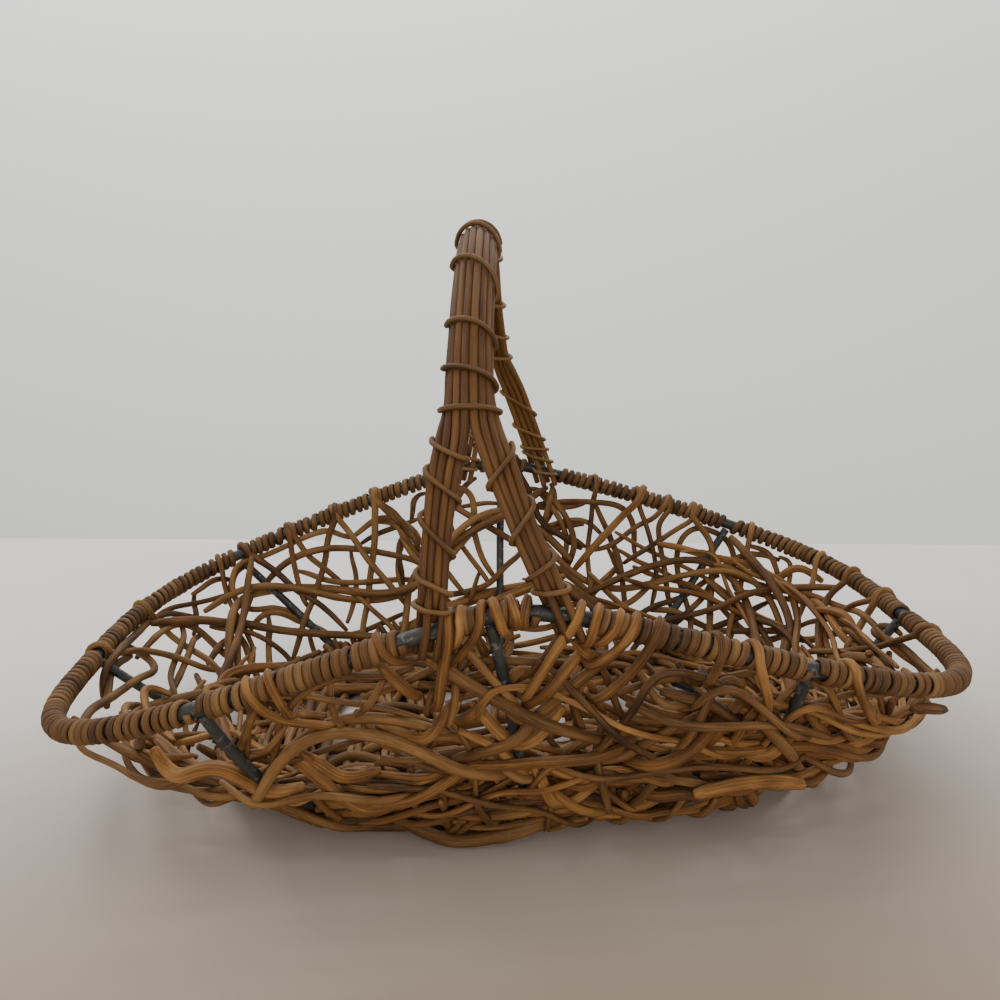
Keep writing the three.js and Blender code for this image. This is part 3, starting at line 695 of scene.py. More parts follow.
crown_turns = np.linspace(CROWN_FROM, CROWN_TO, 80)
crown_middle = np.mean([at_turns(line, crown_turns) for line in plain_canes.values()], axis=0)
between_legs = (near_legs["left"][:, 0].mean() + near_legs["right"][:, 0].mean()) / 2
print("the near legs part at x", round(between_legs, 3), "and z", PARTING_HEIGHT)

# %% Lay the canes
NEAR_LEG_PULL = 0.22
NEAR_LEG_THINNING = 0.1
CROWN_PULL = 0.12
FAR_SIDE = 60 * MM
# painted light: how much lighter the far side of the arch is made
FAR_SIDE_PAINTED_LIGHT = 0.5
CANE_CORNERS = 12
CANE_SWELLINGS, CANE_SWELLING = 24, 0.05
CANE_TONE = (0.35, 0.7)


def on_near_leg(route):
    """How much of a near leg's narrowing each point gets, from none to all of it."""
    below = (PARTING_HEIGHT - route[:, 2]) / PARTING_FADE
    return np.where(route[:, 1] < 0, np.clip(below, 0, 1), 0.0)


def drawn_together(route, side):
    """A strand of a near leg moved a little towards the middle of its leg."""
    away = at_heights(near_legs[side], route[:, 2]) - route
    away[:, 2] = 0
    route = route + away * (NEAR_LEG_PULL * on_near_leg(route))[:, None]
    high = np.clip((route[:, 2] - PARTING_HEIGHT) / PARTING_FADE, 0, 1)
    crown_x = np.interp(round_crown(route), round_crown(crown_middle), crown_middle[:, 0])
    route[:, 0] += (crown_x - route[:, 0]) * CROWN_PULL * high
    return route


def far_side_painted_light(route):
    """Painted light: how much lighter the strands of the arch are made towards its far side, whose
    legs face down.
    """
    return FAR_SIDE_PAINTED_LIGHT * np.clip(route[:, 1] / FAR_SIDE, 0, 1)


cane_routes = {}
for node, line in plain_canes.items():
    near_x = at_heights(line[line[:, 1] < 0], leg_heights)[:, 0].mean()
    route = drawn_together(line, "left" if near_x < between_legs else "right")
    radius = node_radius(node, line) * uneven(len(route), CANE_SWELLINGS, CANE_SWELLING)
    radius = radius * (1 - NEAR_LEG_THINNING * on_near_leg(route))
    cane_routes[node] = (route, radius)
    route, radius = eased_ends(route, radius)
    # the cane's own tone, plus painted light on the far side of the arch
    tone = draw.uniform(*CANE_TONE) + far_side_painted_light(route)
    cane = strand(route, radius, CANE_CORNERS, seed=draw.uniform(*GRAIN_STARTS), tone=tone)
    make_piece(node.replace("arch", "round"), [cane], ROUND_CANE, [node])
print(len(cane_routes), "canes laid")

# %% [markdown]
# ## Bindings of the arch
# A binding is pulled tight, so round a row of canes it runs straight over the flat sides and
# bends only round the outer canes. Its loop is found like a taut string: for every direction
# round the row, the string touches the cane that reaches furthest that way. The turns lie where
# the photograph shows them, and they lean, because the binding goes down on the front of a
# leg and straight back behind it.

# %% Pull a loop tight
LOOP_POINTS = 28
LOOP_DIRECTIONS = np.linspace(0, 2 * np.pi, 73)
END_BEHIND = 5
BINDING_RADIUS = 1.35 * MM
BINDING_SLACK = 0.15 * MM
BINDING_STEP = 2 * MM
BINDING_SWELLINGS, BINDING_SWELLING = 40, 0.07
BINDING_TONE, BINDING_UNEVENNESS = 0.55, 0.25
cane_radius = float(np.mean([radius.mean() for _, radius in cane_routes.values()]))
LOOP_REACH = cane_radius + BINDING_RADIUS + BINDING_SLACK


def taut_loop(middles, across, outward):
    """A string pulled tight round a row of canes, in even points from one end over the front."""
    middle = np.mean(middles, axis=0)
    flat = np.stack([(middles - middle) @ across, (middles - middle) @ outward], axis=1)
    direction = np.stack([-np.cos(LOOP_DIRECTIONS), np.sin(LOOP_DIRECTIONS)], axis=1)
    furthest = np.argmax(direction @ flat.T, axis=1)
    touch = flat[furthest] + LOOP_REACH * direction
    shares, _ = by_length(np.column_stack([touch, np.zeros(len(touch))]))
    even = np.linspace(0, 1, LOOP_POINTS + 1)
    touch = np.stack([np.interp(even, shares, axis) for axis in touch.T], axis=1)
    return middle + touch[:, :1] * across + touch[:, 1:] * outward


def wound_round(loop_at, stations, front_share):
    """A spiral through loops at the stations, which moves on by a share of it over the front."""
    points = []
    even = np.linspace(0, 1, LOOP_POINTS + 1)
    for place in np.linspace(0, len(stations) - 1, (len(stations) - 1) * LOOP_POINTS + 1):
        turn, part = int(place), place - int(place)
        on_front, behind = min(part / 0.5, 1), max(0, (part - 0.5) / 0.5)
        moved = turn + front_share * on_front + (1 - front_share) * behind
        loop = loop_at(np.interp(moved, np.arange(len(stations)), stations))
        points.append([np.interp(part, even, axis) for axis in loop.T])
    return smooth_route(np.array(points[:-END_BEHIND]), BINDING_STEP)


def bind(place, line):
    radius = BINDING_RADIUS * uneven(len(line), BINDING_SWELLINGS, BINDING_SWELLING)
    route, radius = eased_ends(line, radius)
    tone = BINDING_TONE + BINDING_UNEVENNESS * (uneven(len(route), 30, 1.0) - 1)
    # painted light on the far side of the arch, added to the binding's own tone
    tone = tone + far_side_painted_light(route)
    cane = strand(route, radius, seed=draw.uniform(*GRAIN_STARTS), tone=tone)
    make_piece("thin_cane_" + place, [cane], BINDING_CANE, ["binding_" + place])


print("a loop passes the middles of the canes at", round(LOOP_REACH * 1000, 2), "mm")

# %% Bind the crown
CROWN_ROWS = {"far": (359, 351, 320, 285), "near": (224, 232, 257, 318, 363, 407, 416)}
CROWN_FRONT_SHARE = 0.45


def crown_loop(turn):
    middles = np.concatenate([at_turns(route, [turn]) for route, _ in cane_routes.values()])
    outward = np.array([0.0, math.cos(2 * math.pi * turn), math.sin(2 * math.pi * turn)])
    return taut_loop(middles, np.array([1.0, 0.0, 0.0]), outward)


spread = np.linspace(CROWN_FROM + 0.01, CROWN_TO - 0.01, 140)
rows = to_pixels(at_turns(crown_middle, spread))[:, 1]
top = int(np.argmin(rows))
far_rows, far_spread = rows[: top + 1], spread[: top + 1]
crown_stations = [np.interp(-row, -far_rows, far_spread) for row in CROWN_ROWS["far"]]
crown_stations += [np.interp(row, rows[top:], spread[top:]) for row in CROWN_ROWS["near"]]
bind("crown", wound_round(crown_loop, crown_stations, CROWN_FRONT_SHARE))
print("crown bound at turns", [round(float(v), 2) for v in crown_stations])

# %% Bind the legs
LEG_ROWS = {
    "front_left": (420, 468, 515, 572, 604, 613),
    "front_right": (445, 502, 556, 588, 594),
    "back_left": (425, 450, 462, 470),
    "back_right": (390, 424, 446, 451, 464, 476),
}
LEG_FRONT_SHARE = 0.75
LEG_TOP = PARTING_HEIGHT - 4 * MM

leg_canes = {}
for side, sign in (("front", -1), ("back", 1)):
    parts = [
        route[(route[:, 1] * sign > 0) & (route[:, 2] < PARTING_HEIGHT)]
        for route, _ in cane_routes.values()
    ]
    parts.sort(key=lambda part: part[part[:, 2] < PARTING_HEIGHT - PARTING_FADE][:, 0].mean())
    leg_canes[side + "_left"], leg_canes[side + "_right"] = parts[:4], parts[4:]


def leg_loop(place, height):
    """The loop round a leg. It runs the other way round on the near right leg."""
    middles = np.concatenate([at_heights(line, [height]) for line in leg_canes[place]])
    across = unit((middles[-1] - middles[0]) * [1, 1, 0])
    towards_us = np.cross(across, [0.0, 0.0, 1.0])
    return taut_loop(middles, -across if place == "front_right" else across, towards_us)


for place, wanted in LEG_ROWS.items():
    heights = np.linspace(LEG_BOTTOM, LEG_TOP, 80)
    leg_middle = np.mean([at_heights(line, heights) for line in leg_canes[place]], axis=0)
    leg_rows = to_pixels(leg_middle)[:, 1]
    stations = [np.interp(-row, -leg_rows, heights) for row in wanted]
    line = wound_round(lambda height: leg_loop(place, height), stations, LEG_FRONT_SHARE)
    bind("leg_" + place, line)
print(len(LEG_ROWS), "legs bound")

# %% [markdown]
# ## Vines traced from the photograph
# The vines that the photograph shows best are followed pixel by pixel along each
# strand. Every pixel is laid on the wall where its line of sight meets it: on the far wall,
# whose inside we see, or on the near wall, whose outside we see. So the traced vines keep the
# loops and crossings of the real tangle, and still lie on the wall seen from any side.

# %% The traces, in columns and rows of the photograph
FAR_TRACES = {
    "vine": """
        143,608 166,626 188,646 217,667 239,690
        161,617 188,611 219,603 241,599 260,595
        110,673 121,654 131,641 144,630 162,621 181,618 196,618
        117,697 117,679 124,667 137,660
        152,648 171,631 181,625 198,628 213,639 226,649 239,658
        105,658 130,657 157,658 181,665 200,672 226,677 251,679
        137,642 152,655 162,667 161,677 147,687 129,696 114,704 101,710
        223,562 227,581 232,603 239,617 246,630 260,660
        246,562 239,575 236,591 233,602
        198,589 200,602 204,614 207,626
        204,597 217,586 232,580
        189,622 190,635 189,648 182,663 177,678 177,691 182,704
        200,639 195,658 189,673 182,690
        233,639 225,650 216,662
        245,642 244,660 244,679 241,691
        124,685 149,686 175,693 200,697 226,696 245,692 260,690
        203,677 205,690 213,705
        211,628 232,630 251,635 260,639
        217,607 236,617 260,634
        228,553 242,562 253,572 275,586 297,602 312,614
        257,551 244,562 238,578 237,599 247,610 262,613 281,611 299,615 309,620
        220,604 239,599 260,595
        258,553 290,548 302,541 317,533 328,532 340,537 349,541
        271,581 281,572 297,562 314,557 335,553 358,553 379,557 401,561 419,562
        340,518 349,532 359,546 369,562 382,578 396,595 408,609
        383,504 396,520 409,535 420,548
        359,539 373,528 387,523 399,527 405,539 415,562
        363,545 379,537 396,531 420,523
        351,557 358,576 358,595 354,611 348,627
        304,572 319,579 339,586 358,588 379,587 411,583
        302,549 309,562 328,578 348,594 363,608 381,624 396,639 409,655
        262,567 284,579 303,596 322,609 339,624 354,639
        220,628 243,632 265,641 284,652 299,662
        220,609 235,618 252,627 274,637 297,648 317,659
        257,625 268,618 284,615 302,619 318,627 334,636
        274,619 274,671
        244,633 251,646 263,676
        243,643 246,675
        313,633 317,648 322,664
        355,638 373,632 390,625 406,616
        404,542 400,557 400,574 402,592
        415,486 414,523
        474,467 468,486 459,505 451,524
        457,490 472,498 475,514 474,532 478,549 483,565 492,578
        457,512 474,509 491,507
        444,562 454,553 467,543 482,535 492,532
        499,510 494,529 488,544 483,562
        450,534 463,551 474,567 488,585
        442,569 451,581 465,601
        478,579 472,593 465,608
        444,601 459,599 477,595 491,589 501,578 509,567 520,562
        495,579 508,586 533,592
        440,595 457,612
        380,506 393,518 420,543
        421,476 414,495 413,521
        380,525 395,525 404,537 417,562
        400,544 402,590
        515,458 524,479 531,498 537,516 543,528
        533,490 545,497 555,510 564,525 569,544 569,562 562,576
        556,469 553,492 547,527
        525,507 546,509 580,509
        539,537 559,530 580,527
        543,532 559,537 580,551
        547,541 553,560 561,572
        562,578 580,597
        557,474 554,496 548,526
        540,493 551,507 560,524 568,541 569,557 562,577
        540,508 578,507 617,510 627,517 633,531 632,547 631,558
        540,534 555,531 577,526 591,529 600,538
        594,481 591,499 587,541 585,557 588,591 591,621
        596,511 604,529 611,549 617,567 623,604 624,622
        548,536 571,544 582,552
        638,510 642,525 647,543 652,562 655,575
        659,503 655,518 655,541 661,580 668,610
        694,517 666,539 645,554 622,568
        687,638 679,599 675,580 674,562 678,545 688,534 701,531 716,534 725,544 729,559 \
        726,587 731,595 740,599
        619,553 628,564 645,572 661,577 674,580
        662,572 673,567 687,564 703,564 719,571 740,581
        566,580 583,598
        588,605 600,610 614,612 627,608 639,598 654,582
        634,623 647,613 661,608 687,594 711,576
        652,582 650,610
        650,614 675,618 693,624 710,631 740,636
        670,631 683,621 696,609 705,595 710,578
        693,640 710,631 740,619
        710,605 740,608
        734,609 721,646
        610,554 615,569 619,582
        628,564 625,582 618,605
        725,535 729,551 728,571 725,581 728,592 738,598 754,601 778,597
        746,535 743,558 735,595 726,636 722,650
        754,545 764,557 771,581
        720,574 751,586 780,595 815,606 835,609 852,618 867,627 882,647
        815,574 809,589 794,621 774,662
        787,589 783,609 772,636
        777,600 763,610 754,623 755,636 766,646 784,649
        789,595 824,589 843,581
        843,586 827,598 818,612 815,630 815,673
        794,630 812,623 833,618 869,603 882,600
        797,644 810,638 827,634 843,638 855,647 865,658
        876,610 862,615 850,636 838,658
        902,621 875,632
        873,630 865,639 872,644 888,650 914,669
        729,635 754,636 790,643
        726,652 748,646 781,633
        720,607 738,605 755,597
        731,626 758,607
        780,662 797,658 836,659 872,655 888,649 919,643
    """,
    "hook": """
        291,525 293,537 297,557 302,579 308,602 312,613
        337,509 332,522 332,551 331,567 326,590 318,606 307,631 298,659
        377,495 377,513 378,531 378,551 373,577 369,602 363,646
        668,497 665,516 652,525 637,530 627,538 614,548 601,553 588,552
        691,507 698,521 703,539 707,559 707,598 706,641
        784,541 778,548 760,555 738,561 720,569
        784,541 786,571 781,589
    """,
    "thick": """
        641,494 617,524 591,554 572,577
        560,613 582,601 596,591 617,572
        766,586 787,574 806,566 824,563
        867,675 882,656
    """,
}
NEAR_TRACES = {
    "over": """
        450,616 446,640 442,670 437,700 430,724
        481,604 468,631 456,656 446,674
        461,614 457,632 452,650
        493,605 497,618 504,636 509,650
        511,608 512,622 516,634
        527,609 524,622 519,634
        579,612 569,636 556,650 540,672 527,692 517,713
        596,617 588,634 576,648
        617,622 603,638 588,648
        633,624 618,648 600,660 583,670
        657,627 650,646 633,667 608,690 585,709
        744,666 752,679 762,695 761,712 751,727 735,738
        711,648 722,662 716,676 700,684
        252,690 258,704 272,713 301,723 328,731 345,738
        275,684 285,708 299,721
        378,640 390,650 405,662 420,674
        833,690 846,706 858,716 872,722
    """,
    "knotted": """
        159,761 184,773 219,765 247,775 270,788 309,794
        755,765 774,767 790,770
    """,
    "vine": """
        261,700 254,730 244,769
        265,717 296,723 330,732
        374,620 390,633 401,648 422,672
        300,727 335,735 363,743
        359,729 377,742 390,755 414,759
        334,696 331,710 342,738 360,743
        435,697 429,727
        444,693 468,717
        421,696 437,693 451,685 475,662
        359,725 370,713 390,690
        318,797 356,808 404,807
        491,682 503,703 515,720 527,732
        566,691 572,708 587,745
        460,693 491,682 509,657
        477,645 483,659 491,682
        710,686 707,720
        676,676 683,690 699,702
        634,683 648,697 662,709 699,710
        766,714 802,709 840,714
        700,781 718,783 746,773
    """,
    "thin": """
        293,732 277,746 250,773
        573,610 552,619 527,628 506,642
    """,
    "split": """
        300,763 321,767 342,776 363,781 383,783
        395,777 412,773 426,764 439,755
        446,743 465,729 488,710
        483,720 503,737 524,740 546,731 564,717
        535,766 543,783 555,795 573,798 592,791 613,786 628,788
        620,770 648,759 679,745 707,732 732,720
        798,720 809,734 825,749
        620,795 648,793 676,784 718,779 753,769
    """,
    "thick": """
        380,743 405,749 426,746 440,732 453,714
        384,678 401,687 416,700 422,711
        300,781 328,788 356,797 390,801 426,798
        586,664 558,679 537,700 524,722
        572,647 586,657 605,671
        718,745 746,751 774,742 802,741
    """,
    "foot": """
        416,781 415,816
        436,785 442,804 449,819
        458,797 464,809 478,815 494,802 500,797
        601,739 596,757 602,778 613,811
        460,800 469,812 480,817 491,807 501,797
    """,
    "stub": """
        690,776 715,770 740,765 765,764 788,769
        905,700 925,702 942,708 957,716
    """,
}

# %% [markdown]
# The camera isn't known exactly, so the traces are spread a little about one pixel and lifted,
# which brings them back onto the rim and the ribs that they were followed from.

# %% Read the traces
TRACE_MIDDLE = np.array([512.0, 640.0])
TRACE_WIDENING = np.array([1.018, 1.0])
TRACE_LIFT = np.array([0.0, -5.0])


def read_traces(text):
    """The columns and rows of each trace in a table."""
    for line in text.strip().splitlines():
        pixels = np.array([[float(v) for v in pair.split(",")] for pair in line.split()])
        yield TRACE_MIDDLE + (pixels - TRACE_MIDDLE) * TRACE_WIDENING + TRACE_LIFT


for side, tables in (("far", FAR_TRACES), ("near", NEAR_TRACES)):
    print(sum(len(list(read_traces(text))) for text in tables.values()), side, "traces")

# %% Find where lines of sight meet the wall
AROUND_CELLS, RISE_CELLS = 2400, 170
TRACE_STEP = 3.0
grid_around, grid_rise = np.meshgrid(
    np.arange(AROUND_CELLS) / AROUND_CELLS, np.linspace(0, 1, RISE_CELLS), indexing="ij"
)
grid_around, grid_rise = grid_around.ravel(), grid_rise.ravel()
grid_points, grid_outward = wall_place(grid_around, grid_rise)
grid_pixels = to_pixels(grid_points)
inside_seen = np.sum((grid_points - np.array(CAMERA_PLACE)) * grid_outward, axis=1) > 0


def sight_tree(shown):
    tree = kdtree.KDTree(int(shown.sum()))
    for index in np.flatnonzero(shown):
        tree.insert((*grid_pixels[index], 0), int(index))
    tree.balance()
    return tree


FAR_SIGHT = sight_tree(inside_seen)
NEAR_SIGHT = sight_tree(~inside_seen)


def averaged(values, width=5):
    """Running mean with the ends kept."""
    padded = np.pad(values, width // 2, mode="reflect", reflect_type="odd")
    return np.convolve(padded, np.ones(width) / width, mode="valid")


def on_wall(pixels, sight):
    """A traced line as shares of the way round and rises."""
    line = smooth_route(pixels, TRACE_STEP)
    found = [sight.find((column, row, 0))[1] for column, row in line]
    around = np.unwrap(grid_around[found], period=1)
    return averaged(around), np.clip(averaged(grid_rise[found]), 0, 1)


print("of the wall's cells, the inside shows at", int(inside_seen.sum()))
print("and the outside at", int((~inside_seen).sum()))

# %% [markdown]
# ## From routes to vines
# A vine isn't a plain tube. It swells and thins, it has a knot every few centimetres where a
# bud sat, and the thick ones are ridged lengthwise like a bundle of fibres. One helper gives
# every vine such a shape, from seeded random numbers.

# %% Shape a vine
SWELLING = 0.055
POINTS_PER_SWELLING = 14
KNOT_SPACING = (50 * MM, 160 * MM)
KNOT_HEIGHT = (0.06, 0.17)
KNOT_HALF_LENGTH = 3.2 * MM
SLIGHT_RIDGES = [(2, 0.05, 30.0)]
DEEP_RIDGES = ((5, 0.075, 18), (3, 0.06, 9))
PLAIN_CORNERS, RIDGED_CORNERS = 10, 20
MIDDLE_TONE = 0.5
TONE_SPREAD = 0.15
TONE_UNEVENNESS = 0.22
END_THINNING = 0.35
END_THINNING_LENGTH = 7 * MM


def vine(route, diameter, ridged):
    """A vine on a route, with knots and swellings, and ridges where it is a thick one."""
    route = even_route(route)
    run = np.arange(len(route)) * ROUTE_STEP
    swellings = max(3, len(route) // POINTS_PER_SWELLING)
    radius = diameter / 2 * uneven(len(route), swellings, SWELLING)
    place = draw.uniform(0, KNOT_SPACING[1])
    while place < run[-1]:
        knot = np.exp(-(((run - place) / KNOT_HALF_LENGTH) ** 2))
        radius = radius * (1 + draw.uniform(*KNOT_HEIGHT) * knot)
        place += draw.uniform(*KNOT_SPACING)
    from_end = np.minimum(run, run[-1] - run)
    radius = radius * (1 - END_THINNING * np.exp(-from_end / END_THINNING_LENGTH))
    route, radius = eased_ends(route, radius)
    ridges = SLIGHT_RIDGES
    if ridged:
        ridges = [
            (number, depth, draw.uniform(-twist, twist)) for number, depth, twist in DEEP_RIDGES
        ]
    tone = MIDDLE_TONE + draw.normal(0, TONE_SPREAD)
    tone = np.clip(tone + TONE_UNEVENNESS * (uneven(len(route), 12, 1.0) - 1), 0, 1)
    corners = RIDGED_CORNERS if ridged else PLAIN_CORNERS
    seed = draw.uniform(*GRAIN_STARTS)
    return strand(route, radius, corners, ridges=ridges, seed=seed, tone=tone)


straight = np.linspace([0, 0, 0], [0, 0, 0.1], 10)
print("a straight vine of 100 mm would have", len(even_route(straight)), "rings")

# %% [markdown]
# The construction model already holds the vines that carry the wall. Their routes and radii are
# read off its meshes, because the other vines are laid round them.

# %% Routes of the construction's vines
vine_nodes = sorted(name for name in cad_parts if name.startswith("vine_"))
held_routes = {}
for node in vine_nodes:
    line = smooth_route(centre_line(node))
    held_routes[node] = (line, node_radius(node, line))
held_radii = sorted({round(radius * 1000, 1) for _, radius in held_routes.values()})
print(len(held_routes), "construction vines with radii of", held_radii, "mm")

# %% [markdown]
# Three things are done to the traces of the far wall before they are laid. Those that run where
# a construction vine already runs are left out. Those whose ends meet in one direction are
# joined to one longer vine. And a loose end is drawn on to the nearest vine ahead of it, behind
# which it hides.

# %% Choose, join and end the traced vines of the far wall
SAME_PLACE = 6.0
TRACES_LEFT_OUT = 0.2
JOIN_REACH = 12.0
JOIN_BEND = 0.6
END_REACH = 24.0
END_AHEAD = 0.6
ALREADY_THERE = 2.0


def pixel_tree(pixels):
    tree = kdtree.KDTree(len(pixels))
    for index, pixel in enumerate(pixels):
        tree.insert((*pixel, 0), index)
    tree.balance()
    return tree


def overlap(pixels):
    line = smooth_route(pixels, TRACE_STEP)
    return np.mean([held_tree.find((*pixel, 0))[2] < SAME_PLACE for pixel in line])


def meet(first, second):
    """Whether the second trace goes on where the first one ends."""
    gap = np.linalg.norm(second[0] - first[-1])
    leaving, arriving = unit(first[-1] - first[-2]), unit(second[1] - second[0])
    return gap < JOIN_REACH and leaving @ arriving > JOIN_BEND


def joined(traces):
    """Traces that go on in each other, put together."""
    traces = list(traces)
    for _ in range(len(traces)):
        for first, second in itertools.permutations(range(len(traces)), 2):
            ways = [(traces[place], traces[place][::-1]) for place in (first, second)]
            found = next((pair for pair in itertools.product(*ways) if meet(*pair)), None)
            if found is not None:
                rest = [line for place, line in enumerate(traces) if place not in (first, second)]
                traces = rest + [np.concatenate([found[0], found[1][1:]])]
                break
        else:
            break
    return traces


def ended(line, others):
    """The trace with each loose end drawn on to the nearest other vine ahead of it."""
    tree = pixel_tree(others)
    for _ in range(2):
        ahead = unit(line[-1] - line[-2])
        within_reach = tree.find_range((*line[-1], 0), END_REACH)
        for nearest, _, distance in sorted(within_reach, key=lambda found: found[2]):
            step = np.array(nearest[:2]) - line[-1]
            if distance > ALREADY_THERE and step @ ahead > END_AHEAD * distance:
                line = np.concatenate([line, [line[-1] + step]])
                break
        line = line[::-1]
    return line


held_pixels = [to_pixels(line) for line, _ in held_routes.values()]
held_pixels += [to_pixels(line) for line in rib_routes.values()]
held_tree = pixel_tree(np.concatenate(held_pixels))
traced = {kind: list(read_traces(text)) for kind, text in FAR_TRACES.items()}
limit = np.quantile([overlap(line) for line in traced["vine"]], 1 - TRACES_LEFT_OUT)
traced["vine"] = joined(line for line in traced["vine"] if overlap(line) <= limit)
everything = [line for lines in traced.values() for line in lines]
far_traces = []
for kind, lines in traced.items():
    for line in lines:
        others = [smooth_route(other, TRACE_STEP) for other in everything if other is not line]
        far_traces.append((kind, ended(line, np.concatenate(others + held_pixels))))
print(len(far_traces), "far traces after joining")

# %% [markdown]
# Now a route on the wall becomes a strand in space. On its way it passes in and out through the
# wall, it stops under the rim's winding, and its ends are tucked behind the others. Some strands
# are hooked: they go over the rim first and then hang down on the side that we see.

# %% Lay a strand on the wall
WEAVE_SWING = 2.6 * MM
WEAVE_LENGTH = (60 * MM, 110 * MM)
UNDER_WINDING = 0.6
END_TUCK = 6 * MM
END_TUCK_POINTS = 7


def woven_out(count, middle):
    """How far outside the wall a strand's points lie, as it passes in and out."""
    run = np.arange(count) * ROUTE_STEP
    wave = 2 * np.pi * run / draw.uniform(*WEAVE_LENGTH) + draw.uniform(0, 2 * np.pi)
    return middle + WEAVE_SWING * np.sin(wave)


def wall_height(around):
    return np.linalg.norm(on_rim(around) - on_ring(foot_shares, foot_points, around), axis=-1)


def below_rim(rise, around, radius):
    """Keeps a strand that ends at the rim under the winding."""
    return np.minimum(rise, 1 - (WRAP_OUTSIDE + UNDER_WINDING * radius) / wall_height(around))


def loose_strand(points, diameter, kind, held_points=0):
    """A strand still to be settled, except for as many of its first points as are held."""
    return {"home": points, "diameter": diameter, "kind": kind, "held_points": held_points}


def tucked(count, depth):
    """How far the last points at either end go behind the others."""
    from_end = np.minimum(np.arange(count), np.arange(count)[::-1])
    return depth * np.clip(1 - from_end / END_TUCK_POINTS, 0, 1)


def wall_strand(around, rise, diameter, kind, middle=0.0, tuck=0.0):
    """A strand along a route on the wall, so far outside the wall as its middle says."""
    rise = below_rim(rise, around, diameter / 2)
    point, _ = wall_place(around, rise)
    shares, length = by_length(point)
    even = np.linspace(0, 1, max(4, int(length / ROUTE_STEP)) + 1)
    around, rise = np.interp(even, shares, around), np.interp(even, shares, rise)
    out = woven_out(len(even), middle) + tucked(len(even), tuck)
    points, _ = wall_place(around, rise, out)
    return loose_strand(points, diameter, kind)


heights = [round(float(wall_height(share)) * 1000) for share in (0, 0.25, 0.5, 0.75)]
print("from the foot ring to the rim: right, back, left and front", heights, "mm")

# %% Hook a strand over the rim
HOOK_TURN = (-30, 200)
HOOK_POINTS = 9
HOOK_LEAN = 2.5 * MM
HOOK_GAP = 0.3 * MM
HOOK_CLEARANCE = 2.2
HANGING_POINTS = 7


def smooth_with_turns(line, outward):
    """A smooth route whose points lie closer where the direction outwards turns fast."""
    return smooth_route(np.concatenate([line, outward * MM], axis=1))[:, :3]


def hooked_strand(around, rise, diameter, kind, middle, near):
    """A strand that goes over the rim at its first point and hangs down on the side we see."""
    turn = np.linspace(*HOOK_TURN, HOOK_POINTS)
    reach = RIM_ROD_RADIUS + diameter / 2 + HOOK_GAP
    way = np.sign(around[-1] - around[0])
    lean = way * np.linspace(-1, 1, HOOK_POINTS) * HOOK_LEAN / rim_length
    angle = np.radians(180 - turn if near else turn)
    hook, hook_outward = round_rim(around[0] + lean, angle, np.full(HOOK_POINTS, reach))
    clear = rise < rise[0] - HOOK_CLEARANCE * reach / wall_height(around[0])
    start = int(np.argmax(clear)) if clear.any() else len(rise) - 2
    every = max(1, (len(rise) - start) // HANGING_POINTS)
    around, rise = around[start::every], rise[start::every]
    tuck = np.zeros(len(rise))
    tuck[-1] = -2 * END_TUCK if near else END_TUCK
    points, outward = wall_place(around, rise, middle + tuck)
    line = np.concatenate([hook, points])
    direction = np.concatenate([hook_outward if near else -hook_outward, outward])
    arc = np.radians(HOOK_TURN[1] - HOOK_TURN[0]) * reach
    return loose_strand(
        smooth_with_turns(line, direction), diameter, kind, int(np.ceil(arc / ROUTE_STEP))
    )


def high_end_first(around, rise):
    return (around[::-1], rise[::-1]) if rise[-1] > rise[0] else (around, rise)


print("a hook takes", HOOK_TURN[1] - HOOK_TURN[0], "degrees round the rim")

# %% Lay the traces on the wall
FAR_DIAMETERS = {"vine": 4.9 * MM, "hook": 5.0 * MM, "thin": 3.6 * MM, "thick": 6.2 * MM}
FAR_UNEVENNESS, NEAR_UNEVENNESS = (0.86, 1.14), (0.9, 1.1)
HOOKED_FROM, HANGING_TO = 0.93, 0.7
FAR_HOOK_LAYER = -1 * MM
NEAR_DIAMETERS = {
    "vine": 4.3 * MM, "thin": 3.2 * MM, "thick": 5.8 * MM, "over": 4.7 * MM,
    "split": 6.2 * MM, "knotted": 7.4 * MM, "foot": 4.0 * MM, "stub": 7.0 * MM,
}
NEAR_LAYERS = {
    "vine": 3.0 * MM, "thin": 2.0 * MM, "thick": 5.0 * MM, "over": 4.0 * MM,
    "split": 5.0 * MM, "knotted": 6.0 * MM, "foot": 4.0 * MM, "stub": 8.0 * MM,
}
STOUT_KINDS = ("thick", "split", "knotted", "stub")

loose = []
for kind, line in far_traces:
    around, rise = high_end_first(*on_wall(line, FAR_SIGHT))
    diameter = FAR_DIAMETERS[kind] * draw.uniform(*FAR_UNEVENNESS)
    group = "far_thick" if kind == "thick" else "far_vine"
    if rise[0] > HOOKED_FROM and rise[-1] < HANGING_TO:
        loose.append(hooked_strand(around, rise, diameter, group, FAR_HOOK_LAYER, False))
    else:
        loose.append(wall_strand(around, rise, diameter, group, tuck=END_TUCK))

for kind, table in NEAR_TRACES.items():
    for line in read_traces(table):
        around, rise = on_wall(line, NEAR_SIGHT)
        diameter = NEAR_DIAMETERS[kind] * draw.uniform(*NEAR_UNEVENNESS)
        layer = NEAR_LAYERS[kind]
        if kind == "over":
            loose.append(hooked_strand(around, rise, diameter, "near_thick", layer, True))
        else:
            group = "near_thick" if kind in STOUT_KINDS else "near_vine"
            tuck = 0.0 if kind == "stub" else -(layer + END_TUCK)
            loose.append(wall_strand(around, rise, diameter, group, layer, tuck))
print(len(loose), "traced strands on the wall")

# %% [markdown]
# ## Vines that wander
# Where the photograph doesn't show single strands, as in the thick of the belly, on the far
# outside and on the floor, vines wander over the wall by themselves. Each starts somewhere,
# runs mostly lengthwise, and lets its heading drift.

# %% Let a vine wander
POINTS_PER_TURN = 9
TURNED_BACK = 0.6
WANDER_SMOOTHING = 7


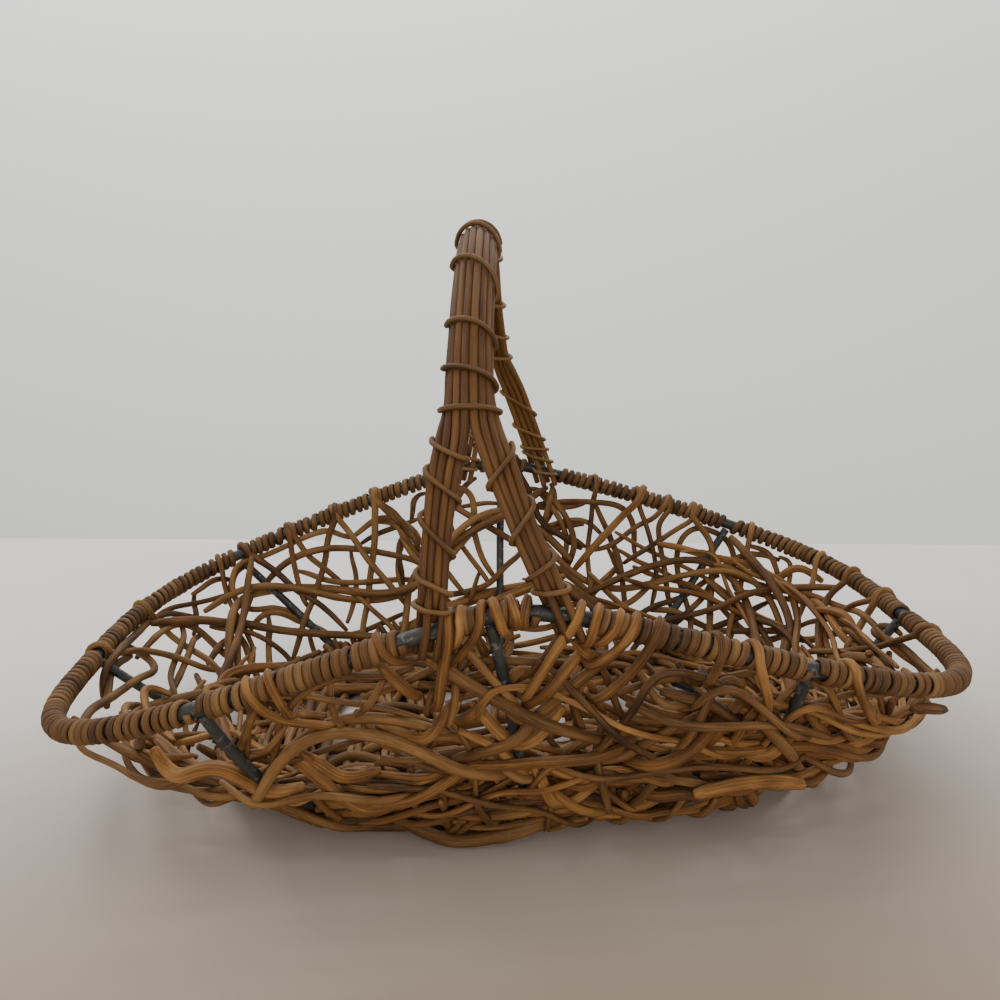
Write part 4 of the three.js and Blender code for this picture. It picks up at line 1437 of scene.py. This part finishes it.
def wander(around, rise, heading, length, drift, lowest, highest):
    """A route in wall shares whose heading drifts, and which turns back at the limits."""
    places = [(around, rise)]
    for turn in smooth_noise(int(length / ROUTE_STEP), POINTS_PER_TURN) * drift:
        heading += turn * ROUTE_STEP
        wide = foot_length + (rim_length - foot_length) * rise
        tall = wall_height(around)
        around += math.cos(heading) * ROUTE_STEP / wide
        rise += math.sin(heading) * ROUTE_STEP / tall
        if rise > highest or rise < lowest:
            rise = min(max(rise, lowest), highest)
            heading = -heading * TURNED_BACK
        places.append((around, rise))
    around, rise = np.array(places).T
    return averaged(around, WANDER_SMOOTHING), np.clip(averaged(rise, WANDER_SMOOTHING), 0, 1)


def smooth_noise(count, every):
    knots = draw.normal(0, 1, count // every + 3)
    return np.interp(np.arange(count) / every, np.arange(len(knots)), knots)


def scatter(group, number, around, rise, size, out, length, spread, drift, highest=0.98):
    """Several wandering vines, started at random within a part of the wall."""
    for _ in range(number):
        heading = draw.normal(0, spread) + (math.pi if draw.random() < 0.5 else 0)
        start = draw.uniform(*around), draw.uniform(*rise)
        route = wander(*start, heading, draw.uniform(*length), drift, LOWEST, highest)
        diameter = draw.uniform(*size) * MM
        middle = draw.uniform(*out) * MM
        loose.append(wall_strand(*route, diameter, group, middle, -END_TUCK))


print("one metre of vine would wander in", int(1 / ROUTE_STEP), "steps")

# %% [markdown]
# A row of this table says to which part of the tangle the vines belong and how many they are,
# then the ranges from which they get their place round and up the wall, their diameter and
# their place outside the wall in millimetres, and their length in metres. Last come how far
# their heading spreads and drifts, and how high they may rise.

# %% Scatter vines over the wall
LOWEST = 0.02
RIB_SPREAD = 0.035
WANDERING = [
    ("belly_right", 46, (0.76, 0.99), (0.05, 0.74),
     (3.0, 5.6), (-10, 5), (0.12, 0.3), 0.16, 6.0, 0.82),
    ("belly_right", 14, (0.86, 0.99), (0.55, 0.88),
     (3.2, 5.0), (-4, 4), (0.1, 0.2), 0.07, 3.0, 0.9),
    ("belly_left", 40, (0.53, 0.8), (0.04, 0.42),
     (3.0, 5.6), (-10, 5), (0.12, 0.28), 0.25, 7.0, 0.5),
    ("belly_left", 10, (0.54, 0.62), (0.3, 0.7),
     (3.2, 5.2), (-8, 1), (0.08, 0.16), 0.16, 5.0, 0.75),
    ("near_vine", 16, (0.6, 0.84), (0.3, 0.85),
     (3.0, 4.4), (-8, 1), (0.1, 0.22), 0.7, 12.0),
    ("belly_left", 8, (0.1, 0.5), (0.03, 0.14),
     (4.4, 6.0), (-2, 5), (0.14, 0.3), 0.2, 6.0, 0.2),
]
for place, number in (("front_right", 12), ("front_left", 6)):
    share = rim_share_at(rib_routes[place][np.argmax(rib_routes[place][:, 2])])
    beside = (share - RIB_SPREAD, share + RIB_SPREAD)
    WANDERING.append(
        ("near_vine", number, beside, (0.25, 0.92),
         (3.2, 5.0), (5, 8), (0.08, 0.16), 0.25, 5.0, 0.93)
    )
WANDERING += [
    ("near_vine", 2, (0.96, 1.03), (0.05, 0.5),
     (4.0, 5.4), (-5, 1), (0.1, 0.2), 0.5, 8.0),
    ("near_vine", 3, (0.48, 0.56), (0.05, 0.4),
     (4.0, 5.4), (-8, -3), (0.08, 0.14), 0.4, 6.0, 0.6),
]
traced_number = len(loose)
for row in WANDERING:
    scatter(*row)
print(len(loose) - traced_number, "wandering vines on the wall")

# %% Stand short vines on the foot ring
UPRIGHTS = 30
UPRIGHT_PLACE, UPRIGHT_RISE = (0.62, 0.92), (0.0, 0.02)
UPRIGHT_LENGTH = (25 * MM, 65 * MM)
UPRIGHT_SPREAD, UPRIGHT_DRIFT = 0.5, 14.0
UPRIGHT_DIAMETER, UPRIGHT_LAYER = (3.2, 4.6), (4, 7)
UPRIGHT_TUCK = -3 * MM

for _ in range(UPRIGHTS):
    start = draw.uniform(*UPRIGHT_PLACE), draw.uniform(*UPRIGHT_RISE)
    heading = draw.normal(math.pi / 2, UPRIGHT_SPREAD)
    route = wander(*start, heading, draw.uniform(*UPRIGHT_LENGTH), UPRIGHT_DRIFT, 0.0, 0.98)
    diameter = draw.uniform(*UPRIGHT_DIAMETER) * MM
    middle = draw.uniform(*UPRIGHT_LAYER) * MM
    loose.append(wall_strand(*route, diameter, "near_vine", middle, UPRIGHT_TUCK))
print(UPRIGHTS, "short vines at the foot")

# %% [markdown]
# The floor is laid of vines that run lengthwise and crosswise over the foot ring and end a
# little up the wall at both sides. A third of the first ones close the left end crosswise.

# %% Lay the floor
FLOOR_HEIGHT = 10 * MM
FLOOR_UNEVENNESS = (-2, 3)
FLOOR_BOW = 9
FLOOR_ENDS = np.array([0.3, 0.17, 0.07])
FLOOR_END_LEAN = 0.012
FLOOR_END_LAYER = -1 * MM
FLOOR_MIDDLES = (0.2, 0.4, 0.6, 0.8)
END_SPREAD = 0.05


def floor_strand(start, end, diameter):
    """A vine across the floor, whose ends go up into the wall at both sides."""
    first_places = start + draw.normal(0, FLOOR_END_LEAN) * FLOOR_ENDS
    first, first_out = wall_place(first_places, FLOOR_ENDS, FLOOR_END_LAYER)
    last_places = end + draw.normal(0, FLOOR_END_LEAN) * FLOOR_ENDS
    last, last_out = wall_place(last_places, FLOOR_ENDS, FLOOR_END_LAYER)
    bow = np.array([*draw.normal(0, FLOOR_BOW, 2), 0]) * MM
    middle = np.array([
        first[-1] * (1 - part) + last[-1] * part + bow * math.sin(math.pi * part)
        for part in FLOOR_MIDDLES
    ])
    middle[:, 2] = FLOOR_HEIGHT + draw.uniform(*FLOOR_UNEVENNESS, len(middle)) * MM
    line = np.concatenate([first, middle, last[::-1]])
    down = np.tile([0.0, 0.0, -1.0], (len(middle), 1))
    outward = np.concatenate([first_out, down, last_out[::-1]])
    return loose_strand(smooth_with_turns(line, outward), diameter, "floor")


def lay_floor(places, sizes, number, lengthwise_of_three):
    """Floor vines that start within a part of the wall and end opposite."""
    for turn in range(number):
        start = draw.uniform(*places)
        opposite = 1.5 if turn % 3 >= 3 - lengthwise_of_three else 1.0
        end = opposite - start + draw.normal(0, END_SPREAD)
        loose.append(floor_strand(start, end, draw.uniform(*sizes) * MM))


lay_floor((0.34, 0.66), (4.6, 7.4), 36, 2)
lay_floor((0.08, 0.42), (4.2, 6.4), 18, 0)
print(len(loose), "strands to settle")

# %% [markdown]
# ## Settling the tangle
# So far the strands run through each other. Real ones lie against each other, one over and
# one under at each crossing. The settling works on points a few millimetres apart: wherever
# two strands come closer than their radii allow, they are pushed apart, along the line that
# is square to both where they cross. After each round every strand is smoothed, because a
# vine can't kink. The rods, the winding, the canes and the construction's vines stay put.

# %% Find strands that are close to each other
SEARCH_MARGIN = 2.5 * MM


def held_strands():
    """Routes and radii of everything that the loose strands have to make room for."""
    yield even_route(rim_points), WRAP_OUTSIDE
    yield even_route(foot_points), FOOT_ROD_RADIUS
    for route in rib_routes.values():
        yield route, FOOT_ROD_RADIUS
    for route, radius in cane_routes.values():
        yield route, float(np.mean(radius))
    for route, radius in held_routes.values():
        yield route, radius


def close_pairs(points, radius, owner, movable):
    """Pairs of points of different strands that could touch."""
    tree = kdtree.KDTree(len(points))
    for index, point in enumerate(points):
        tree.insert(point, index)
    tree.balance()
    largest = float(radius.max())
    firsts, seconds = [], []
    for index in np.flatnonzero(movable):
        reach = radius[index] + largest + SEARCH_MARGIN
        for _, other, _ in tree.find_range(points[index], reach):
            if owner[other] != owner[index] and (other > index or not movable[other]):
                firsts.append(index)
                seconds.append(other)
    first, second = np.array(firsts), np.array(seconds)
    near = np.linalg.norm(points[first] - points[second], axis=1)
    keep = near < radius[first] + radius[second] + SEARCH_MARGIN
    return first[keep], second[keep]


print(len(list(held_strands())), "strands stay put")

# %% Helpers for settling
CROSSING = 0.35
CALM, CALM_PASSES = 0.3, 3
LAST_CALM, LAST_CALM_PASSES = 0.25, 6
TABLE_GAP = 0.8 * MM
NO_LENGTH = 1e-9


def lifted(points, radius, movable):
    """Keeps strands off the table."""
    low = (points[:, 2] < radius + TABLE_GAP) & movable
    points[low, 2] = radius[low] + TABLE_GAP


def directions(points):
    """The direction of the strand at every point."""
    tangent = np.zeros_like(points)
    tangent[1:-1] = points[2:] - points[:-2]
    tangent[[0, -1]] = 1
    return unit(tangent)


def pushed_apart(points, radius, free, first, second):
    """How far every point moves to clear the others, and by how much each pair is short."""
    tangent = directions(points)
    gap = points[first] - points[second]
    square = np.cross(tangent[first], tangent[second])
    size = np.linalg.norm(square, axis=1, keepdims=True)
    along = np.sum(gap * tangent[second], axis=1, keepdims=True) * tangent[second]
    crossing = square / np.maximum(size, NO_LENGTH)
    apart = np.where(size > CROSSING, crossing, unit(gap - along + NO_LENGTH))
    sign = np.where(np.sum(gap * apart, axis=1) >= 0, 1.0, -1.0)
    short = np.maximum(radius[first] + radius[second] - np.linalg.norm(gap, axis=1), 0)
    weight = free[first] + free[second]
    push = apart * (sign * short)[:, None] / np.maximum(weight, 1)[:, None]
    moves, touched = np.zeros_like(points), np.zeros(len(points))
    np.add.at(moves, first, push * free[first][:, None])
    np.add.at(moves, second, -push * free[second][:, None])
    np.add.at(touched, first, short > 0)
    np.add.at(touched, second, short > 0)
    return moves / np.sqrt(np.maximum(touched, 1))[:, None], short


def bends(values, middles):
    """How far each point between its strand's ends lies off the line of its neighbours."""
    return values[middles - 1] + values[middles + 1] - 2 * values[middles]


print("each round is calmed", CALM_PASSES, "times, and the last one", LAST_CALM_PASSES, "more")

# %% Push crossing strands apart
SETTLE_ROUNDS = 48
SEARCH_EVERY = 5
HOMING = 0.985
OVERLAP_TOLD = 0.8 * MM


def settle(loose):
    """Moves the loose strands off each other and off the held ones."""
    held = list(held_strands())
    routes = [each["home"] for each in loose] + [route for route, _ in held]
    sizes = [each["diameter"] / 2 for each in loose] + [radius for _, radius in held]
    counts = [len(route) for route in routes]
    starts = np.concatenate([[0], np.cumsum(counts)])
    home = np.concatenate(routes)
    radius, owner = np.repeat(sizes, counts), np.repeat(np.arange(len(routes)), counts)
    free, inner = np.zeros(len(home)), np.zeros(len(home), bool)
    for number, each in enumerate(loose):
        start, stop = starts[number], starts[number + 1]
        free[start + each["held_points"] : stop] = 1
        inner[start + 1 : stop - 1] = True
    movable, middles = owner < len(loose), np.flatnonzero(inner)
    points = home.copy()
    for turn in range(SETTLE_ROUNDS):
        if turn % SEARCH_EVERY == 0:
            first, second = close_pairs(points, radius, owner, movable)
        moves, short = pushed_apart(points, radius, free, first, second)
        shift = (points + moves - home) * HOMING
        for _ in range(CALM_PASSES):
            shift[middles] += CALM * bends(shift, middles)
        points = home + shift * free[:, None]
        lifted(points, radius, movable)
    for _ in range(LAST_CALM_PASSES):
        points[middles] += LAST_CALM * bends(points, middles) * free[middles][:, None]
        lifted(points, radius, movable)
    left = float(np.sum(short > OVERLAP_TOLD) / max(1, np.sum(short > 0)))
    print(len(points), "points settled; of the pairs that still touch,", round(left, 3))
    print("overlap by more than", round(OVERLAP_TOLD * 1000, 1), "mm")
    return [points[starts[number] : starts[number + 1]] for number in range(len(loose))]


settled = settle(loose)

# %% [markdown]
# ## Making the vines
# The construction's vines keep their names and places, each as a piece of its own. The other
# strands are gathered by where they lie, so that a piece is one part of the tangle.

# %% Make the construction's vines
STOUT_RADIUS = 3.2 * MM

for node, (line, radius) in held_routes.items():
    stout = radius > STOUT_RADIUS
    finish = THICK_VINE if stout else VINE
    make_piece("grape" + node, [vine(line, 2 * radius, stout)], finish, [node])
print(len(held_routes), "vines made")

# %% Make the other vines
GROUPS = {
    "far_vine": ("vines_of_the_far_wall", VINE, False),
    "far_thick": ("thick_vines_of_the_far_wall", THICK_VINE, True),
    "near_vine": ("vines_of_the_near_wall", VINE, False),
    "near_thick": ("thick_vines_of_the_near_wall", THICK_VINE, True),
    "belly_left": ("vines_round_the_left_belly", THICK_VINE, True),
    "belly_right": ("vines_round_the_right_belly", THICK_VINE, True),
    "floor": ("vines_of_the_floor", VINE, False),
}
for kind, (name, finish, ridged) in GROUPS.items():
    strands = [
        vine(route, each["diameter"], ridged)
        for route, each in zip(settled, loose)
        if each["kind"] == kind
    ]
    piece = make_piece(name, strands, finish)
    print(name, len(strands), "strands,", len(piece.data.polygons), "faces")

# %% [markdown]
# ## The table, the wall behind and the light
# The basket stands on a pale table in front of a pale wall. The wall is plain; the table's
# colour is painted darker and browner towards us, as painted shade. The light is soft and comes
# from above and behind, so the wall and the far part of the table are bright, and the side of
# the basket that faces us lies in warm shade. The table ends where two pixels of the photograph
# show its far edge. The wall stands well behind it, with a light of its own, so that it doesn't
# hide the basket from behind.

# %% Build the table and the wall behind
TABLE_EDGE_PIXELS = ((0, 538), (1000, 545))
TABLE_SIZE = (5.0, 3.2)
WALL_SIZE = (10.0, 5.0)
WALL_DISTANCE = 2.6
WALL_MIDDLE_HEIGHT = 0.5
WALL_COLOUR = (0.93, 0.94, 0.93)
# painted shade: the span of Y over which the table fades from its darker near colour to the far
# colour
TABLE_PAINTED_SHADE_FADE = (-0.26, 0.2)
MOTTLE_NOISE = (3.0, 3.0, 4.0)
MOTTLE_DEPTH = 0.16


def on_table(column, row):
    """The point of the table that a pixel of the photograph shows."""
    focal = LENS / SENSOR * PICTURE_SIDE
    middle = PICTURE_SIDE / 2
    sight = camera_turn @ Vector(((column - middle) / focal, (middle - row) / focal, -1))
    return CAMERA_PLACE - sight * (CAMERA_PLACE.z / sight.z)


def pale_finish(name, near, far, roughness):
    """A pale finish that fades from one colour on our side to another at the far edge; on the
    table the darker colour on our side is painted shade.
    """
    finish, tree, shader = new_finish(name)
    place = add_node(tree, "ShaderNodeTexCoord").outputs["Object"]
    distance = add_node(tree, "ShaderNodeSeparateXYZ")
    tree.links.new(place, distance.inputs["Vector"])
    fade = add_node(tree, "ShaderNodeMapRange")
    fade.inputs["From Min"].default_value = TABLE_PAINTED_SHADE_FADE[0]
    fade.inputs["From Max"].default_value = TABLE_PAINTED_SHADE_FADE[1]
    tree.links.new(distance.outputs["Y"], fade.inputs["Value"])
    cloud = stretched_noise(tree, place, *MOTTLE_NOISE)
    mottled = arithmetic(tree, "MULTIPLY_ADD", cloud, MOTTLE_DEPTH, -MOTTLE_DEPTH / 2)
    shade = arithmetic(tree, "ADD", fade.outputs["Result"], mottled)
    colour = colour_steps(tree, shade, ((0.0, near), (1.0, far)))
    tree.links.new(colour, shader.inputs["Base Color"])
    shader.inputs["Roughness"].default_value = roughness
    return finish


def staged_sheet(name, size, place, finish):
    """A flat sheet of a length and a depth."""
    solid = bmesh.new()
    bmesh.ops.create_grid(
        solid, x_segments=1, y_segments=1, size=0.5, matrix=place @ Matrix.Diagonal((*size, 1, 1))
    )
    mesh = bpy.data.meshes.new(name)
    solid.to_mesh(mesh)
    solid.free()
    sheet = bpy.data.objects.new(name, mesh)
    bpy.context.scene.collection.objects.link(sheet)
    mesh.materials.append(finish)


edge_left, edge_right = (on_table(*pixel) for pixel in TABLE_EDGE_PIXELS)
edge_middle = (edge_left + edge_right) / 2
edge_turn = Matrix.Translation(edge_middle) @ Matrix.Rotation(
    math.atan2(edge_right.y - edge_left.y, edge_right.x - edge_left.x), 4, "Z"
)
table_place = edge_turn @ Matrix.Translation((0, -TABLE_SIZE[1] / 2, 0))
upright = Matrix.Rotation(math.radians(90), 4, "X")
wall_sheet_place = edge_turn @ Matrix.Translation((0, WALL_DISTANCE, WALL_MIDDLE_HEIGHT)) @ upright
# the darker, browner near colour is painted shade on the table's side towards us
painted_shade_table_finish = pale_finish("pale_table_with_painted_shade", (0.335, 0.255, 0.197), (0.73, 0.695, 0.665), 0.8)
wall_finish = pale_finish("pale_wall", WALL_COLOUR, WALL_COLOUR, 0.7)
staged_sheet("table", TABLE_SIZE, table_place, painted_shade_table_finish)
staged_sheet("wall_behind", WALL_SIZE, wall_sheet_place, wall_finish)
print("the table ends at", [round(v, 3) for v in edge_middle])

# %% Light it softly
LIGHTS = {
    "light_above": ((-0.7, 0.36, 1.35), (-0.2, 0.5, 0.1), (2.6, 0.3), 8.0, (1.0, 0.98, 0.94)),
    "light_on_the_wall": ((0.0, 2.3, 2.6), (0, 3.0, 0.2), (6.0, 0.6), 110.0, (1.0, 1.0, 1.0)),
    "light_in_front": ((0.3, -1.9, 0.5), (0, 0, 0.06), (2.4, 0.7), 17.0, (1.0, 0.92, 0.8)),
}
ROOM_COLOUR = (1.0, 0.99, 0.97, 1)
ROOM_STRENGTH = 0.82


def soft_light(name, place, target, size, power, colour):
    """A lit sheet of a size in metres and a power in watts, turned to its target."""
    lamp = bpy.data.lights.new(name, "AREA")
    lamp.shape = "RECTANGLE"
    lamp.size, lamp.size_y = size
    lamp.energy = power
    lamp.color = colour
    holder = bpy.data.objects.new(name, lamp)
    bpy.context.scene.collection.objects.link(holder)
    holder.location = place
    holder.rotation_euler = (Vector(target) - Vector(place)).to_track_quat("-Z", "Y").to_euler()


for name, light in LIGHTS.items():
    soft_light(name, *light)
world = bpy.data.worlds.new("soft_room")
world.use_nodes = True
background = world.node_tree.nodes["Background"]
background.inputs["Color"].default_value = ROOM_COLOUR
background.inputs["Strength"].default_value = ROOM_STRENGTH
bpy.context.scene.world = world
print(len(LIGHTS), "lights placed in a soft room")
